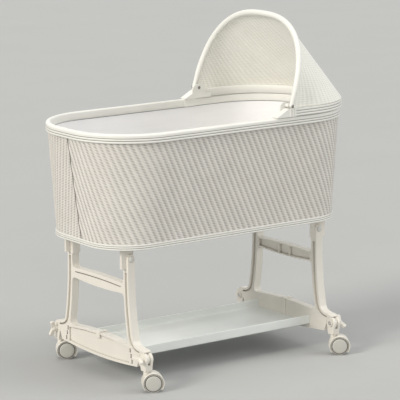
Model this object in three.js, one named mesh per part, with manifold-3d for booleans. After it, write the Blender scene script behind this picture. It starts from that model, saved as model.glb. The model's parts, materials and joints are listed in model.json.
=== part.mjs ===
// Nursery bassinet: a woven basket with a folding hood, on a rocking stand with swing-up casters.
// Millimetres, +Z up, +X towards the hood, -Y towards the front. The origin is on the floor under the middle.

import * as THREE from 'three';
import { mergeVertices } from 'three/addons/utils/BufferGeometryUtils.js';
import Module from 'manifold-3d';

const wasm = await Module();
wasm.setup();

// Overall sizes: the rim at the top of the basket and the trim at its base
const RIM_LENGTH = 800;
const RIM_WIDTH = 414;
const RIM_CORNER = 174;
const RIM_TOP = 645;
const BASE_LENGTH = 738;
const BASE_WIDTH = 350;
const BASE_CORNER = 112;
const BASE_BOTTOM = 352;

// Clearance between pieces that touch, and between pieces that move on each other
const GAP = 0.3;
const RUNNING = 0.4;

// Basket shell
const COVER_THICK = 1.8;
const WALL_THICK = 4;
const FLOOR_THICK = 6;
const RIM_PROUD = 3;
const RIM_OUTER_DROP = 23.5;
const RIM_INNER_DROP = 20;
const RIM_CROWN = 6.4;
const RIM_LIP = 1.6;
const BEAD_HEIGHT = 11;
const RIDGE_DEPTH = 1.2;
const RIDGE_COUNT = 2;
const TRIM_PROUD = 3;
const TRIM_HEIGHT = 15;
const TRIM_RIDGES = 3;
const TRIM_SHELF = 3.5;
const TRIM_SHELF_REACH = 17;

// Mattress pad
const PAD_THICK = 32;
const PAD_CROWN = 7;
const PAD_MARGIN = 7;
const PAD_WAIST = 3;

// Stand: end frames in the planes X = +-FRAME_X
const FRAME_X = 296.5;
const FRAME_DEPTH = 21;
const LEG_TOP = 296.5;
const LEG_FOOT = 122;
const LEG_TOP_Y = 138;
const LEG_SPLAY = 17;
const LEG_CURVE = 2.2;
const LEG_WIDTH_TOP = 21;
const LEG_WIDTH_FOOT = 24;
const FLANGE = 6.2;
const LEG_GROOVE = 5;
const CROSS_TOP = 260;
const CROSS_ARCH = 3;
const CROSS_DEPTH = 24;
const CROSS_SAG = 5;
const PANEL_TOP = 106;
const PANEL_ARCH = 7;
const ROCKER_LOW = 50.5;
const ROCKER_RADIUS = 1600;
const ROCKER_END = 172;
const FACE_RECESS = 4;
const SLIT_HEIGHT = 2.4;
const SLIT_DEPTH = 6.5;
const WINDOW_FILLET = 13;
const SLOT_WIDTH = 5.5;
const SLOT_HEIGHT = 11;

// Leg tops: tongue, socket under the basket and release button
const TONGUE_THICK = 7;
const BUTTON_Z = 324.5;
const BUTTON_RADIUS = 8;
const BUTTON_FLANGE = 9.6;
const BUTTON_FLANGE_THICK = 3;
const BUTTON_PROUD = 4.5;
const BUTTON_TRAVEL = 6;
const TONGUE_RISE = 1.5;
const SOCKET_HALF = 11.6;
const SOCKET_DEPTH = 18.5;
const SOCKET_FIN = 24.5;
const SOCKET_FIN_THICK = 8;
const SOCKET_FIN_LIFT = 3.5;
const SPRING_RADIUS = 6;
const SPRING_WIRE = 0.7;
const SPRING_TURNS = 3;

// Feet: a beak on the frame over a caster arm that swings up about the clamp bolt
const FOOT_Y = 198;
const PIVOT_Z = 84;
const ARM_RADIUS = 16.5;
const BEAK_THICK = 5.4;
const BEAK_TIP = 2.6;
const BEAK_END = 74;
const ARCH_START = 190;
const EYE_RADIUS = 13.6;
const EYE_THICK = 7;
const ARM_BOTTOM = 54.4;
const ARM_NECK = 9;
const ARM_WALL_ANGLE = -32;
const BOSS_RADIUS = 9;
const BOSS_PROUD = 2.6;
const BOLT_RADIUS = 3;
const NUT_RADIUS = 5.6;
const NUT_THICK = 4;
const KNOB_HUB = 7;
const KNOB_HUB_LENGTH = 14;
const WING_REACH = 20;
const WING_FLARE = 21;
const WING_THICK = 7;
const KNOB_TURN = { front_left: 78, rear_left: 12, front_right: 50, rear_right: 50 };

// Casters: twin wheels under a hood, trailing behind the stem
const WHEEL_RADIUS = 24;
const WHEEL_SIDES = 18;
const WHEEL_WIDTH = 11.6;
const HOOD_SIDES = 18;
const CASTER_WEB = 11.2;
const HOOD_GAP = 1.2;
const HOOD_THICK = 2;
const HOOD_CUT = 8;
const CASTER_TRAIL = 15.5;
const STEM_RADIUS = 4;
const STEM_SIDES = 16;
const STEM_BOSS = 8;
const STEM_RISE = 2.965;
const STEM_FOOT_RISE = 10.4;
const STEM_REACH = 12.6;
const SEAT_GAP = 0.6;
const AXLE_RADIUS = 2.5;
const SWIVEL = { front_left: -27, rear_left: -27, front_right: -34, rear_right: 34 };

// Shelf tray between the end frames
const SHELF_WIDTH = 226;
const SHELF_BOTTOM = 66;
const SHELF_THICK = 4;
const SHELF_LIP = 24;
const SHELF_LIP_THICK = 3.5;
const SHELF_RIB = 8;
const HOOK_WIDTH = 16;
const HOOK_THICK = 2.5;
const HOOK_DROP = 14;

// Hood: rail on the rim, bow that folds back about the rivets, woven skin between them
const RAIL_START = 163.5;
const RAIL_HEIGHT = 21;
const RAIL_PROUD = 4;
const RAIL_DEPTH = 19;
const RAIL_RIDGES = 3;
const BOW_RADIUS = 6;
const BOW_HALF_WIDTH = 210;
const BOW_HEIGHT = 211;
const BOW_POWER = 2.57;
const BOW_FOOT_X = 147;
const BOW_LEAN = 0.33;
const SKIN_THICK = 2;
const SKIN_START = 4;
const CLIP_LENGTH = 23;
const CLIP_RIBS = 3;
const NOSE_LENGTH = 37;
const NOSE_TIP = 2.5;
const EAR_THICK = 3.4;
const EAR_WIDTH = 42;
const TAB_LENGTH = 18;
const TAB_HEIGHT = 12;
const HOOK_PLATE = 2;
const RIVET_RADIUS = 2.4;
const RIVET_HEAD = 4.4;

// Facets of the round stretches
const CORNER_STEPS = 7;
const LEG_STEPS = 5;
const EDGE_STEPS = 4;
const CURVE_STEPS = 4;
const ROUND_SIDES = 12;
const BOW_STEPS = 24;
const SKIN_COLUMNS = 24;
const SKIN_ROWS = 4;

const ivory = new THREE.MeshStandardMaterial({ color: 0xf3f0e4, roughness: 0.45, metalness: 0 });
const cream = new THREE.MeshStandardMaterial({ color: 0xece5d2, roughness: 0.42, metalness: 0 });
const woven = new THREE.MeshStandardMaterial({ color: 0xd8d0c4, roughness: 0.75, metalness: 0 });
const liner = new THREE.MeshStandardMaterial({ color: 0xe6e3e4, roughness: 0.55, metalness: 0 });
const gloss = new THREE.MeshStandardMaterial({ color: 0xf0f2ee, roughness: 0.22, metalness: 0 });
const cloth = new THREE.MeshStandardMaterial({ color: 0xf4f2ee, roughness: 0.9, metalness: 0 });
const tread = new THREE.MeshStandardMaterial({ color: 0xc9c5bc, roughness: 0.5, metalness: 0 });
const steel = new THREE.MeshStandardMaterial({ color: 0xb9babb, roughness: 0.35, metalness: 1 });

const model = new THREE.Group();

// Turns a drawing in the YZ plane, extruded along local z, so that it stands across X
const ACROSS_X = new THREE.Matrix4().makeBasis(
  new THREE.Vector3(0, 1, 0),
  new THREE.Vector3(0, 0, 1),
  new THREE.Vector3(1, 0, 0),
);

// Turns a drawing in the XZ plane, extruded along local z, so that it stands across Y
const ACROSS_Y = new THREE.Matrix4().makeBasis(
  new THREE.Vector3(1, 0, 0),
  new THREE.Vector3(0, 0, 1),
  new THREE.Vector3(0, -1, 0),
);

function radians(degrees) {
  return THREE.MathUtils.degToRad(degrees);
}

function polar(angle, radius) {
  return [FOOT_Y + radius * Math.cos(radians(angle)), PIVOT_Z + radius * Math.sin(radians(angle))];
}

// Closed geometry from vertices and triangles, turned inside out if its faces point in
function closedGeometry(points, triangles) {
  const inside = triangles.reduce((sum, [a, b, c]) => {
    const cross = new THREE.Vector3().crossVectors(points[b], points[c]);
    return sum + points[a].dot(cross);
  }, 0);
  const ordered = inside > 0 ? triangles : triangles.map(([a, b, c]) => [a, c, b]);
  const geometry = new THREE.BufferGeometry();
  const flat = points.flatMap((p) => [p.x, p.y, p.z]);
  geometry.setAttribute('position', new THREE.Float32BufferAttribute(flat, 3));
  geometry.setIndex(ordered.flat());
  return geometry;
}

function bandTriangles(low, high, count) {
  const triangles = [];
  for (let k = 0; k < count; k += 1) {
    const next = (k + 1) % count;
    triangles.push([low + k, low + next, high + next], [low + k, high + next, high + k]);
  }
  return triangles;
}

// Rings of equal count, joined in order and the last back to the first
function ringGeometry(rings) {
  const count = rings[0].length;
  const triangles = rings.flatMap((ring, i) => {
    return bandTriangles(i * count, ((i + 1) % rings.length) * count, count);
  });
  return closedGeometry(rings.flat(), triangles);
}

// Rings of equal count, joined in order, with a fan over the first and the last
function cappedGeometry(rings) {
  const count = rings[0].length;
  const last = rings.length - 1;
  const points = rings.flat();
  const triangles = [];
  for (let i = 0; i < last; i += 1) {
    triangles.push(...bandTriangles(i * count, (i + 1) * count, count));
  }
  [0, last].forEach((i) => {
    const middle = new THREE.Vector3();
    rings[i].forEach((p) => middle.addScaledVector(p, 1 / count));
    points.push(middle);
    for (let k = 0; k < count; k += 1) {
      const edge = [i * count + k, i * count + ((k + 1) % count)];
      const fan = [points.length - 1, edge[1], edge[0]];
      triangles.push(i === 0 ? fan : [fan[0], fan[2], fan[1]]);
    }
  });
  return closedGeometry(points, triangles);
}

function toSolid(geometry) {
  const bare = geometry.clone();
  bare.deleteAttribute('normal');
  bare.deleteAttribute('uv');
  const merged = mergeVertices(bare, 1e-4);
  const vertProperties = new Float32Array(merged.attributes.position.array);
  const triVerts = new Uint32Array(merged.index.array);
  return new wasm.Manifold(new wasm.Mesh({ numProp: 3, vertProperties, triVerts }));
}

function toGeometry(solid) {
  const { vertProperties, triVerts } = solid.getMesh();
  const geometry = new THREE.BufferGeometry();
  geometry.setAttribute('position', new THREE.BufferAttribute(vertProperties, 3));
  geometry.setIndex(new THREE.BufferAttribute(triVerts, 1));
  return geometry;
}

function joined(first, ...rest) {
  return rest.reduce((sum, piece) => sum.add(piece), first);
}

function cut(first, ...rest) {
  return rest.reduce((left, piece) => left.subtract(piece), first);
}

function addMesh(parent, name, geometry, material) {
  const mesh = new THREE.Mesh(geometry, material);
  mesh.name = name;
  parent.add(mesh);
  return mesh;
}

function extruded(shape, depth) {
  return new THREE.ExtrudeGeometry(shape, { depth, bevelEnabled: false, curveSegments: CURVE_STEPS });
}

// A YZ drawing made solid from one X to another
function slabX(shape, low, high) {
  return toSolid(extruded(shape, high - low).applyMatrix4(ACROSS_X).translate(low, 0, 0));
}

// An XZ drawing made solid from one Y to another
function slabY(shape, low, high) {
  return toSolid(extruded(shape, high - low).applyMatrix4(ACROSS_Y).translate(0, high, 0));
}

function block(low, high) {
  const size = high.map((value, i) => value - low[i]);
  const middle = high.map((value, i) => (value + low[i]) / 2);
  return toSolid(new THREE.BoxGeometry(...size).translate(...middle));
}

function rodX(radius, low, high, y, z, sides = ROUND_SIDES) {
  const geometry = new THREE.CylinderGeometry(radius, radius, high - low, sides);
  return toSolid(geometry.rotateZ(Math.PI / 2).translate((low + high) / 2, y, z));
}

function rodY(radius, low, high, x, z, sides = ROUND_SIDES) {
  const geometry = new THREE.CylinderGeometry(radius, radius, high - low, sides);
  return toSolid(geometry.translate(x, (low + high) / 2, z));
}

function rodZ(radius, low, high, x, y, sides = ROUND_SIDES) {
  const geometry = new THREE.CylinderGeometry(radius, radius, high - low, sides);
  return toSolid(geometry.rotateX(Math.PI / 2).translate(x, y, (low + high) / 2));
}

// Profile of (radius, along) points turned about the Y axis
function turned(profile, sides = ROUND_SIDES) {
  return new THREE.LatheGeometry(profile.map(([radius, along]) => new THREE.Vector2(radius, along)), sides);
}

// Rounded rectangle at one height, as a ring of points from +X round to +X again
function roundedRing(length, width, corner, z) {
  const ring = [];
  const quarters = [[1, 1], [-1, 1], [-1, -1], [1, -1]];
  quarters.forEach(([sx, sy], quarter) => {
    for (let i = 0; i <= CORNER_STEPS; i += 1) {
      const turn = (quarter + i / CORNER_STEPS) * Math.PI / 2;
      const x = sx * (length / 2 - corner) + corner * Math.cos(turn);
      const y = sy * (width / 2 - corner) + corner * Math.sin(turn);
      ring.push(new THREE.Vector3(x, y, z));
    }
  });
  return ring;
}

function rimRing(inset, z) {
  return roundedRing(RIM_LENGTH - 2 * inset, RIM_WIDTH - 2 * inset, RIM_CORNER - inset, z);
}

function trimRing(inset, z) {
  return roundedRing(BASE_LENGTH - 2 * inset, BASE_WIDTH - 2 * inset, BASE_CORNER - inset, z);
}

// The basket's tapering side at one height, inset from the outer face of the woven cover
function sideRing(inset, z) {
  const rise = (z - BASE_BOTTOM) / (RIM_TOP - BASE_BOTTOM);
  const between = (base, rim) => THREE.MathUtils.lerp(base - TRIM_PROUD, rim - RIM_PROUD, rise) - inset;
  return roundedRing(
    2 * between(BASE_LENGTH / 2, RIM_LENGTH / 2),
    2 * between(BASE_WIDTH / 2, RIM_WIDTH / 2),
    between(BASE_CORNER, RIM_CORNER),
    z,
  );
}

// Ridged face from one height up to another, as (inset, z) pairs with a groove between ridges
function ridges(low, high, count) {
  const pitch = (high - low) / count;
  const groove = pitch * 0.28;
  const pairs = [];
  for (let i = 0; i < count; i += 1) {
    const z = low + i * pitch;
    pairs.push([0, z + groove / 2], [0, z + pitch - groove / 2]);
    if (i < count - 1) pairs.push([RIDGE_DEPTH, z + pitch]);
  }
  return pairs;
}

const WALL_BOTTOM = BASE_BOTTOM + TRIM_SHELF + GAP;
const WALL_TOP = RIM_TOP - RIM_CROWN - GAP;
const WALL_INSET = COVER_THICK + GAP;
const WALL_INNER = WALL_INSET + WALL_THICK;
const FLOOR_TOP = WALL_BOTTOM + FLOOR_THICK;
const PAD_BOTTOM = FLOOR_TOP + GAP;
// The rim's inner lip hangs straight, so it clears the wall, which leans in below it
const SIDE_LEAN = Math.max(RIM_LENGTH - BASE_LENGTH, RIM_WIDTH - BASE_WIDTH) / 2 / (RIM_TOP - BASE_BOTTOM);
const RIM_INNER_FACE = RIM_PROUD + SIDE_LEAN * RIM_INNER_DROP + WALL_INNER + GAP + RIM_LIP;

// Basket: board wall, woven cover round it, floor board, top rim and base trim
function addBasket() {
  const shell = (outer, inner) => ringGeometry([
    sideRing(outer, WALL_BOTTOM),
    sideRing(outer, WALL_TOP),
    sideRing(inner, WALL_TOP),
    sideRing(inner, WALL_BOTTOM),
  ]);
  addMesh(model, 'woven_cover', shell(0, COVER_THICK), woven);
  addMesh(model, 'basket_wall', shell(WALL_INSET, WALL_INNER), liner);

  const floorRing = (z) => sideRing(WALL_INNER + GAP, z).map((p) => p.setZ(z));
  addMesh(model, 'basket_floor', cappedGeometry([floorRing(WALL_BOTTOM), floorRing(FLOOR_TOP)]), liner);

  const rimLow = RIM_TOP - RIM_OUTER_DROP;
  const beadLow = RIM_TOP - BEAD_HEIGHT;
  const rimFace = ridges(rimLow, beadLow, RIDGE_COUNT);
  const crown = [
    [RIDGE_DEPTH, beadLow],
    [0, beadLow + 1.4],
    [0, RIM_TOP - 5],
    [1.6, RIM_TOP - 1.8],
    [4.6, RIM_TOP],
    [RIM_INNER_FACE - 3, RIM_TOP],
    [RIM_INNER_FACE, RIM_TOP - 3],
    [RIM_INNER_FACE, RIM_TOP - RIM_INNER_DROP],
  ];
  addMesh(model, 'top_rim', ringGeometry([
    ...[...rimFace, ...crown].map(([inset, z]) => rimRing(inset, z)),
    sideRing(WALL_INNER + GAP, RIM_TOP - RIM_INNER_DROP),
    sideRing(WALL_INNER + GAP, WALL_TOP + GAP),
    sideRing(-GAP, WALL_TOP + GAP),
    sideRing(-GAP, rimLow),
  ]), ivory);

  const trimFace = ridges(BASE_BOTTOM, BASE_BOTTOM + TRIM_HEIGHT, TRIM_RIDGES);
  addMesh(model, 'base_trim', ringGeometry([
    trimRing(1, BASE_BOTTOM),
    ...trimFace.map(([inset, z]) => trimRing(inset, z)),
    sideRing(-GAP, BASE_BOTTOM + TRIM_HEIGHT),
    sideRing(-GAP, BASE_BOTTOM + TRIM_SHELF),
    trimRing(TRIM_SHELF_REACH, BASE_BOTTOM + TRIM_SHELF),
    trimRing(TRIM_SHELF_REACH, BASE_BOTTOM),
  ]), ivory);
}

// Mattress pad: crowned top, sides drawn in at a waist between the two sewn edges
function addPad() {
  const ring = (inset, z) => sideRing(WALL_INNER + PAD_MARGIN + inset, PAD_BOTTOM).map((p) => p.setZ(z));
  const top = PAD_BOTTOM + PAD_THICK - PAD_CROWN;
  const rings = [
    ring(6, PAD_BOTTOM),
    ring(1, PAD_BOTTOM + 2),
    ring(0, PAD_BOTTOM + 4),
    ring(PAD_WAIST, (PAD_BOTTOM + top) / 2),
    ring(0, top - 4),
    ring(1.5, top - 1),
    ring(9, top + PAD_CROWN * 0.35),
    ring(30, top + PAD_CROWN * 0.75),
    ring(70, top + PAD_CROWN),
  ];
  addMesh(model, 'mattress_pad', cappedGeometry(rings), cloth);
}

// Edges of the end frame in the YZ plane, for y or z on the +Y side
function legDown(z) {
  return (LEG_TOP - z) / (LEG_TOP - LEG_FOOT);
}

function legOuter(z) {
  return LEG_TOP_Y + LEG_SPLAY * legDown(z) ** LEG_CURVE;
}

function legInner(z) {
  return legOuter(z) - THREE.MathUtils.lerp(LEG_WIDTH_TOP, LEG_WIDTH_FOOT, legDown(z));
}

const CROSS_HALF = legInner(CROSS_TOP);
const PANEL_HALF = legInner(LEG_FOOT);

function bulge(y, half) {
  return 1 - (y / half) ** 2;
}

function crossTop(y) {
  return CROSS_TOP + CROSS_ARCH * bulge(y, CROSS_HALF);
}

function crossBottom(y) {
  return CROSS_TOP - CROSS_DEPTH - CROSS_SAG * bulge(y, CROSS_HALF);
}

function panelTop(y) {
  return PANEL_TOP + PANEL_ARCH * bulge(y, PANEL_HALF);
}

function rocker(y) {
  return ROCKER_LOW + ROCKER_RADIUS - Math.sqrt(ROCKER_RADIUS ** 2 - y ** 2);
}

function steps(low, high, count) {
  return Array.from({ length: count + 1 }, (_, i) => THREE.MathUtils.lerp(low, high, i / count));
}

// The +Y half of an outline, given from the middle round to the middle, doubled into a whole shape
function mirrored(half) {
  const other = half.slice(1, -1).reverse().map((p) => new THREE.Vector2(-p.x, p.y));
  return new THREE.Shape([...half, ...other]);
}

const ARCH_RADIUS = ARM_RADIUS + RUNNING;
const BEAK_RADIUS = ARCH_RADIUS + BEAK_THICK;

function frameOutline() {
  const path = new THREE.Path();
  path.moveTo(0, ROCKER_LOW);
  steps(0, ROCKER_END, EDGE_STEPS).slice(1).forEach((y) => path.lineTo(y, rocker(y)));
  path.lineTo(...polar(ARCH_START, ARCH_RADIUS));
  path.absarc(FOOT_Y, PIVOT_Z, ARCH_RADIUS, radians(ARCH_START), radians(BEAK_END), true);
  path.lineTo(...polar(BEAK_END, ARCH_RADIUS + BEAK_TIP));
  const top = PIVOT_Z + BEAK_RADIUS;
  path.quadraticCurveTo(FOOT_Y - 1, top + 0.2, FOOT_Y - 9, top + 0.4);
  const ankle = legOuter(LEG_FOOT);
  path.bezierCurveTo(FOOT_Y - 26, top + 1.4, ankle + 3, LEG_FOOT - 12, ankle, LEG_FOOT);
  steps(LEG_FOOT, LEG_TOP, LEG_STEPS).slice(1).forEach((z) => path.lineTo(legOuter(z), z));
  path.lineTo(legInner(LEG_TOP), LEG_TOP);
  const fillet = CROSS_TOP + WINDOW_FILLET;
  path.lineTo(legInner(fillet), fillet);
  const inner = CROSS_HALF - WINDOW_FILLET;
  path.quadraticCurveTo(CROSS_HALF, CROSS_TOP, inner, crossTop(inner));
  steps(inner, 0, EDGE_STEPS).slice(1).forEach((y) => path.lineTo(y, crossTop(y)));
  return mirrored(path.getPoints(CURVE_STEPS));
}

function windowOutline() {
  const path = new THREE.Path();
  path.moveTo(0, panelTop(0));
  const low = PANEL_HALF - WINDOW_FILLET;
  steps(0, low, EDGE_STEPS).slice(1).forEach((y) => path.lineTo(y, panelTop(y)));
  const legLow = panelTop(low) + WINDOW_FILLET;
  path.quadraticCurveTo(legInner(PANEL_TOP), panelTop(PANEL_HALF), legInner(legLow), legLow);
  const legHigh = crossBottom(CROSS_HALF) - WINDOW_FILLET;
  steps(legLow, legHigh, LEG_STEPS).slice(1).forEach((z) => path.lineTo(legInner(z), z));
  const high = legInner(legHigh) - WINDOW_FILLET;
  path.quadraticCurveTo(legInner(legHigh), crossBottom(high), high, crossBottom(high));
  steps(high, 0, EDGE_STEPS).slice(1).forEach((y) => path.lineTo(y, crossBottom(y)));
  return mirrored(path.getPoints(CURVE_STEPS));
}

// Groove between the flanges of a leg, running on into the foot; side is +1 or -1 in Y
function legGroove(side) {
  const high = LEG_TOP - FLANGE;
  const low = LEG_FOOT + 6;
  const path = new THREE.Path();
  path.moveTo(legInner(high) + FLANGE, high);
  steps(high, low, LEG_STEPS).slice(1).forEach((z) => path.lineTo(legInner(z) + FLANGE, z));
  const tail = FOOT_Y - ARCH_RADIUS + 2;
  const roof = PIVOT_Z + BEAK_RADIUS - BEAK_THICK;
  path.bezierCurveTo(legInner(low) + FLANGE + 2, roof + 2, tail - 14, roof - 4.5, tail, roof - 4);
  path.lineTo(tail, roof);
  path.bezierCurveTo(tail - 16, roof, legOuter(low) - FLANGE + 1, roof + 8, legOuter(low) - FLANGE, low);
  steps(low, high, LEG_STEPS).slice(1).forEach((z) => path.lineTo(legOuter(z) - FLANGE, z));
  return new THREE.Shape(path.getPoints(CURVE_STEPS).map((p) => new THREE.Vector2(side * p.x, p.y)));
}

// Area between two edges of the frame, y from low to high, each edge moved in by its own margin
function faceBetween(low, high, bottom, bottomMargin, top, topMargin) {
  const under = steps(low, high, EDGE_STEPS).map((y) => new THREE.Vector2(y, bottom(y) + bottomMargin));
  const over = steps(high, low, EDGE_STEPS).map((y) => new THREE.Vector2(y, top(y) - topMargin));
  return new THREE.Shape([...under, ...over]);
}

// Eye for the clamp bolt: a thin round plate under the beak, joined to the arch
function footEye() {
  const shape = new THREE.Shape();
  const join = ARCH_RADIUS + 1;
  shape.moveTo(...polar(BEAK_END + 8, join));
  shape.absarc(FOOT_Y, PIVOT_Z, join, radians(BEAK_END + 8), radians(ARCH_START + 6), false);
  shape.lineTo(...polar(ARCH_START + 6, EYE_RADIUS));
  const from = radians(ARCH_START + 6);
  shape.absarc(FOOT_Y, PIVOT_Z, EYE_RADIUS, from, radians(360 + BEAK_END + 8), false);
  return shape;
}

// Tongue at a leg's top: the outer flange carried up past the socket, round-topped, with the button's hole
function tongue() {
  const half = FRAME_DEPTH / 2;
  const shape = new THREE.Shape();
  shape.moveTo(-half, LEG_TOP - 2);
  shape.lineTo(half, LEG_TOP - 2);
  shape.lineTo(half, BUTTON_Z + TONGUE_RISE);
  shape.absarc(0, BUTTON_Z + TONGUE_RISE, half, 0, Math.PI, false);
  const inner = LEG_TOP_Y - TONGUE_THICK;
  const hole = rodY(BUTTON_RADIUS + RUNNING, inner - 1, LEG_TOP_Y + 1, 0, BUTTON_Z);
  return cut(slabY(shape, inner, LEG_TOP_Y), hole);
}

// End frame, drawn with its outer face towards +X
function frameSolid() {
  const half = FRAME_DEPTH / 2;
  const turn = (solid) => solid.rotate([0, 0, 180]);
  const outer = half - FACE_RECESS;
  const groove = half - LEG_GROOVE;
  const eye = cut(
    slabX(footEye(), -EYE_THICK / 2, EYE_THICK / 2),
    rodX(BOLT_RADIUS + RUNNING, -half, half, FOOT_Y, PIVOT_Z),
  );
  const body = joined(slabX(frameOutline(), -half, half), tongue(), turn(tongue()), eye, turn(eye));
  const crossEdge = CROSS_HALF - FLANGE;
  const panelEdge = PANEL_HALF + FLANGE;
  const slit = (reach, top, band) => {
    const under = (y) => top(y) - band - SLIT_HEIGHT;
    return slabX(faceBetween(-reach, reach, under, 0, top, band), half - SLIT_DEPTH, half + 1);
  };
  const panelFace = faceBetween(-panelEdge, panelEdge, rocker, FLANGE, panelTop, FLANGE);
  const grooves = [1, -1].flatMap((side) => [
    slabX(legGroove(side), groove, half + 1),
    slabX(legGroove(side), -half - 1, -groove),
  ]);
  const ribHalf = HOOK_THICK / 2;
  const cellEdge = crossEdge / 5;
  const cells = [
    [-crossEdge, -cellEdge - ribHalf],
    [ribHalf - cellEdge, cellEdge - ribHalf],
    [cellEdge + ribHalf, crossEdge],
  ];
  const inside = cells.map(([low, high]) => {
    const face = faceBetween(low, high, crossBottom, FLANGE / 2, crossTop, FLANGE / 2);
    return slabX(face, -half - 1, -half + 2 * FACE_RECESS);
  });
  const slots = [1, -1].flatMap((side) => [0, 1, 2].map((row) => {
    const y = side * (panelEdge + SLOT_WIDTH * (1 + row * 0.7));
    const z = rocker(panelEdge) + FLANGE + SLOT_HEIGHT * (0.5 + (2 - row) * 1.25);
    const low = [outer - 2, y - SLOT_WIDTH / 2, z - SLOT_HEIGHT / 2];
    return block(low, [half + 1, y + SLOT_WIDTH / 2, z + SLOT_HEIGHT / 2]);
  }));
  return cut(
    body,
    slabX(windowOutline(), -half - 1, half + 1),
    slit(crossEdge - FLANGE, crossTop, 1.4 * FLANGE),
    slit(PANEL_HALF - FLANGE, panelTop, FLANGE),
    slabX(panelFace, outer, half + 1),
    ...inside,
    ...grooves,
    ...slots,
  );
}

function addFrames() {
  const geometry = toGeometry(frameSolid());
  const right = addMesh(model, 'end_frame_right', geometry, cream);
  right.position.x = FRAME_X;
  const left = addMesh(model, 'end_frame_left', geometry, cream);
  left.position.x = -FRAME_X;
  left.rotation.z = Math.PI;
}

// Shelf tray: floor, two long lips, ribs under it, and a hook over each end frame's lower panel
function addShelf() {
  const endX = FRAME_X - FRAME_DEPTH / 2 - GAP;
  const half = SHELF_WIDTH / 2;
  const top = SHELF_BOTTOM + SHELF_THICK;
  const lip = SHELF_BOTTOM + SHELF_LIP;
  const tray = mirrored([
    new THREE.Vector2(0, SHELF_BOTTOM),
    new THREE.Vector2(half * 0.45, SHELF_BOTTOM),
    new THREE.Vector2(half * 0.45, SHELF_BOTTOM - SHELF_RIB),
    new THREE.Vector2(half * 0.45 + SHELF_LIP_THICK, SHELF_BOTTOM - SHELF_RIB),
    new THREE.Vector2(half * 0.45 + SHELF_LIP_THICK, SHELF_BOTTOM),
    new THREE.Vector2(half - 2, SHELF_BOTTOM),
    new THREE.Vector2(half, SHELF_BOTTOM + 2),
    new THREE.Vector2(half, lip - 1.2),
    new THREE.Vector2(half - SHELF_LIP_THICK / 2, lip),
    new THREE.Vector2(half - SHELF_LIP_THICK, lip - 1.2),
    new THREE.Vector2(half - SHELF_LIP_THICK, top + 2.5),
    new THREE.Vector2(half - SHELF_LIP_THICK - 2.5, top),
    new THREE.Vector2(0, top),
  ]);
  const over = panelTop(0) + GAP;
  const outside = FRAME_X + FRAME_DEPTH / 2 + GAP;
  const hook = new THREE.Shape([
    new THREE.Vector2(endX - HOOK_THICK, SHELF_BOTTOM),
    new THREE.Vector2(endX, SHELF_BOTTOM),
    new THREE.Vector2(endX, over),
    new THREE.Vector2(outside, over),
    new THREE.Vector2(outside, over - HOOK_DROP),
    new THREE.Vector2(outside + HOOK_THICK, over - HOOK_DROP),
    new THREE.Vector2(outside + HOOK_THICK, over + HOOK_THICK - 1),
    new THREE.Vector2(outside + HOOK_THICK - 1, over + HOOK_THICK),
    new THREE.Vector2(endX - HOOK_THICK, over + HOOK_THICK),
  ]);
  const hookSolid = slabY(hook, -HOOK_WIDTH / 2, HOOK_WIDTH / 2);
  const solid = joined(slabX(tray, -endX, endX), hookSolid, hookSolid.rotate([0, 0, 180]));
  addMesh(model, 'shelf_tray', toGeometry(solid), gloss);
}

// Socket under the basket floor, behind a leg's tongue: a block bored for the release button and its spring,
// with a fin past the frame's outer face
const SOCKET_FACE = LEG_TOP_Y - TONGUE_THICK - GAP;
const BUTTON_SEAT = SOCKET_FACE - BUTTON_FLANGE_THICK;
const SPRING_LENGTH = BUTTON_TRAVEL + 2 * SPRING_WIRE * (SPRING_TURNS + 1);
const BORE_END = BUTTON_SEAT - SPRING_LENGTH - 2 * GAP;

function socketSolid(outward) {
  const low = LEG_TOP + GAP;
  const high = WALL_BOTTOM - GAP;
  const fin = [0, SOCKET_FIN].map((x) => outward * x).sort((a, b) => a - b);
  return cut(
    joined(
      block([-SOCKET_HALF, SOCKET_FACE - SOCKET_DEPTH, low], [SOCKET_HALF, SOCKET_FACE, high]),
      block([fin[0], SOCKET_FACE - SOCKET_FIN_THICK, low + SOCKET_FIN_LIFT], [fin[1], SOCKET_FACE, high]),
    ),
    rodY(BUTTON_FLANGE + RUNNING, BORE_END, SOCKET_FACE + 1, 0, BUTTON_Z),
  );
}

function buttonGeometry() {
  const face = LEG_TOP_Y + BUTTON_PROUD;
  return turned([
    [0, BUTTON_SEAT],
    [BUTTON_FLANGE, BUTTON_SEAT],
    [BUTTON_FLANGE, BUTTON_SEAT + BUTTON_FLANGE_THICK - GAP],
    [BUTTON_RADIUS, BUTTON_SEAT + BUTTON_FLANGE_THICK - GAP],
    [BUTTON_RADIUS, LEG_TOP_Y + 0.4],
    [BUTTON_RADIUS * 0.86, face - 1.5],
    [BUTTON_RADIUS * 0.5, face - 0.3],
    [0, face],
  ]).translate(0, 0, BUTTON_Z);
}

// Return spring: one open coil along Y behind the button, straight at neither end
function springGeometry() {
  const perTurn = 7;
  const sides = 4;
  const start = BORE_END + GAP + SPRING_WIRE;
  const length = SPRING_LENGTH - 2 * SPRING_WIRE;
  const rings = steps(0, SPRING_TURNS, SPRING_TURNS * perTurn).map((turns) => {
    const angle = 2 * Math.PI * turns;
    return Array.from({ length: sides }, (_, k) => {
      const around = 2 * Math.PI * k / sides;
      const radius = SPRING_RADIUS + SPRING_WIRE * Math.cos(around);
      const y = start + length * turns / SPRING_TURNS + SPRING_WIRE * Math.sin(around);
      return new THREE.Vector3(radius * Math.cos(angle), y, BUTTON_Z + radius * Math.sin(angle));
    });
  });
  return cappedGeometry(rings);
}

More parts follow.
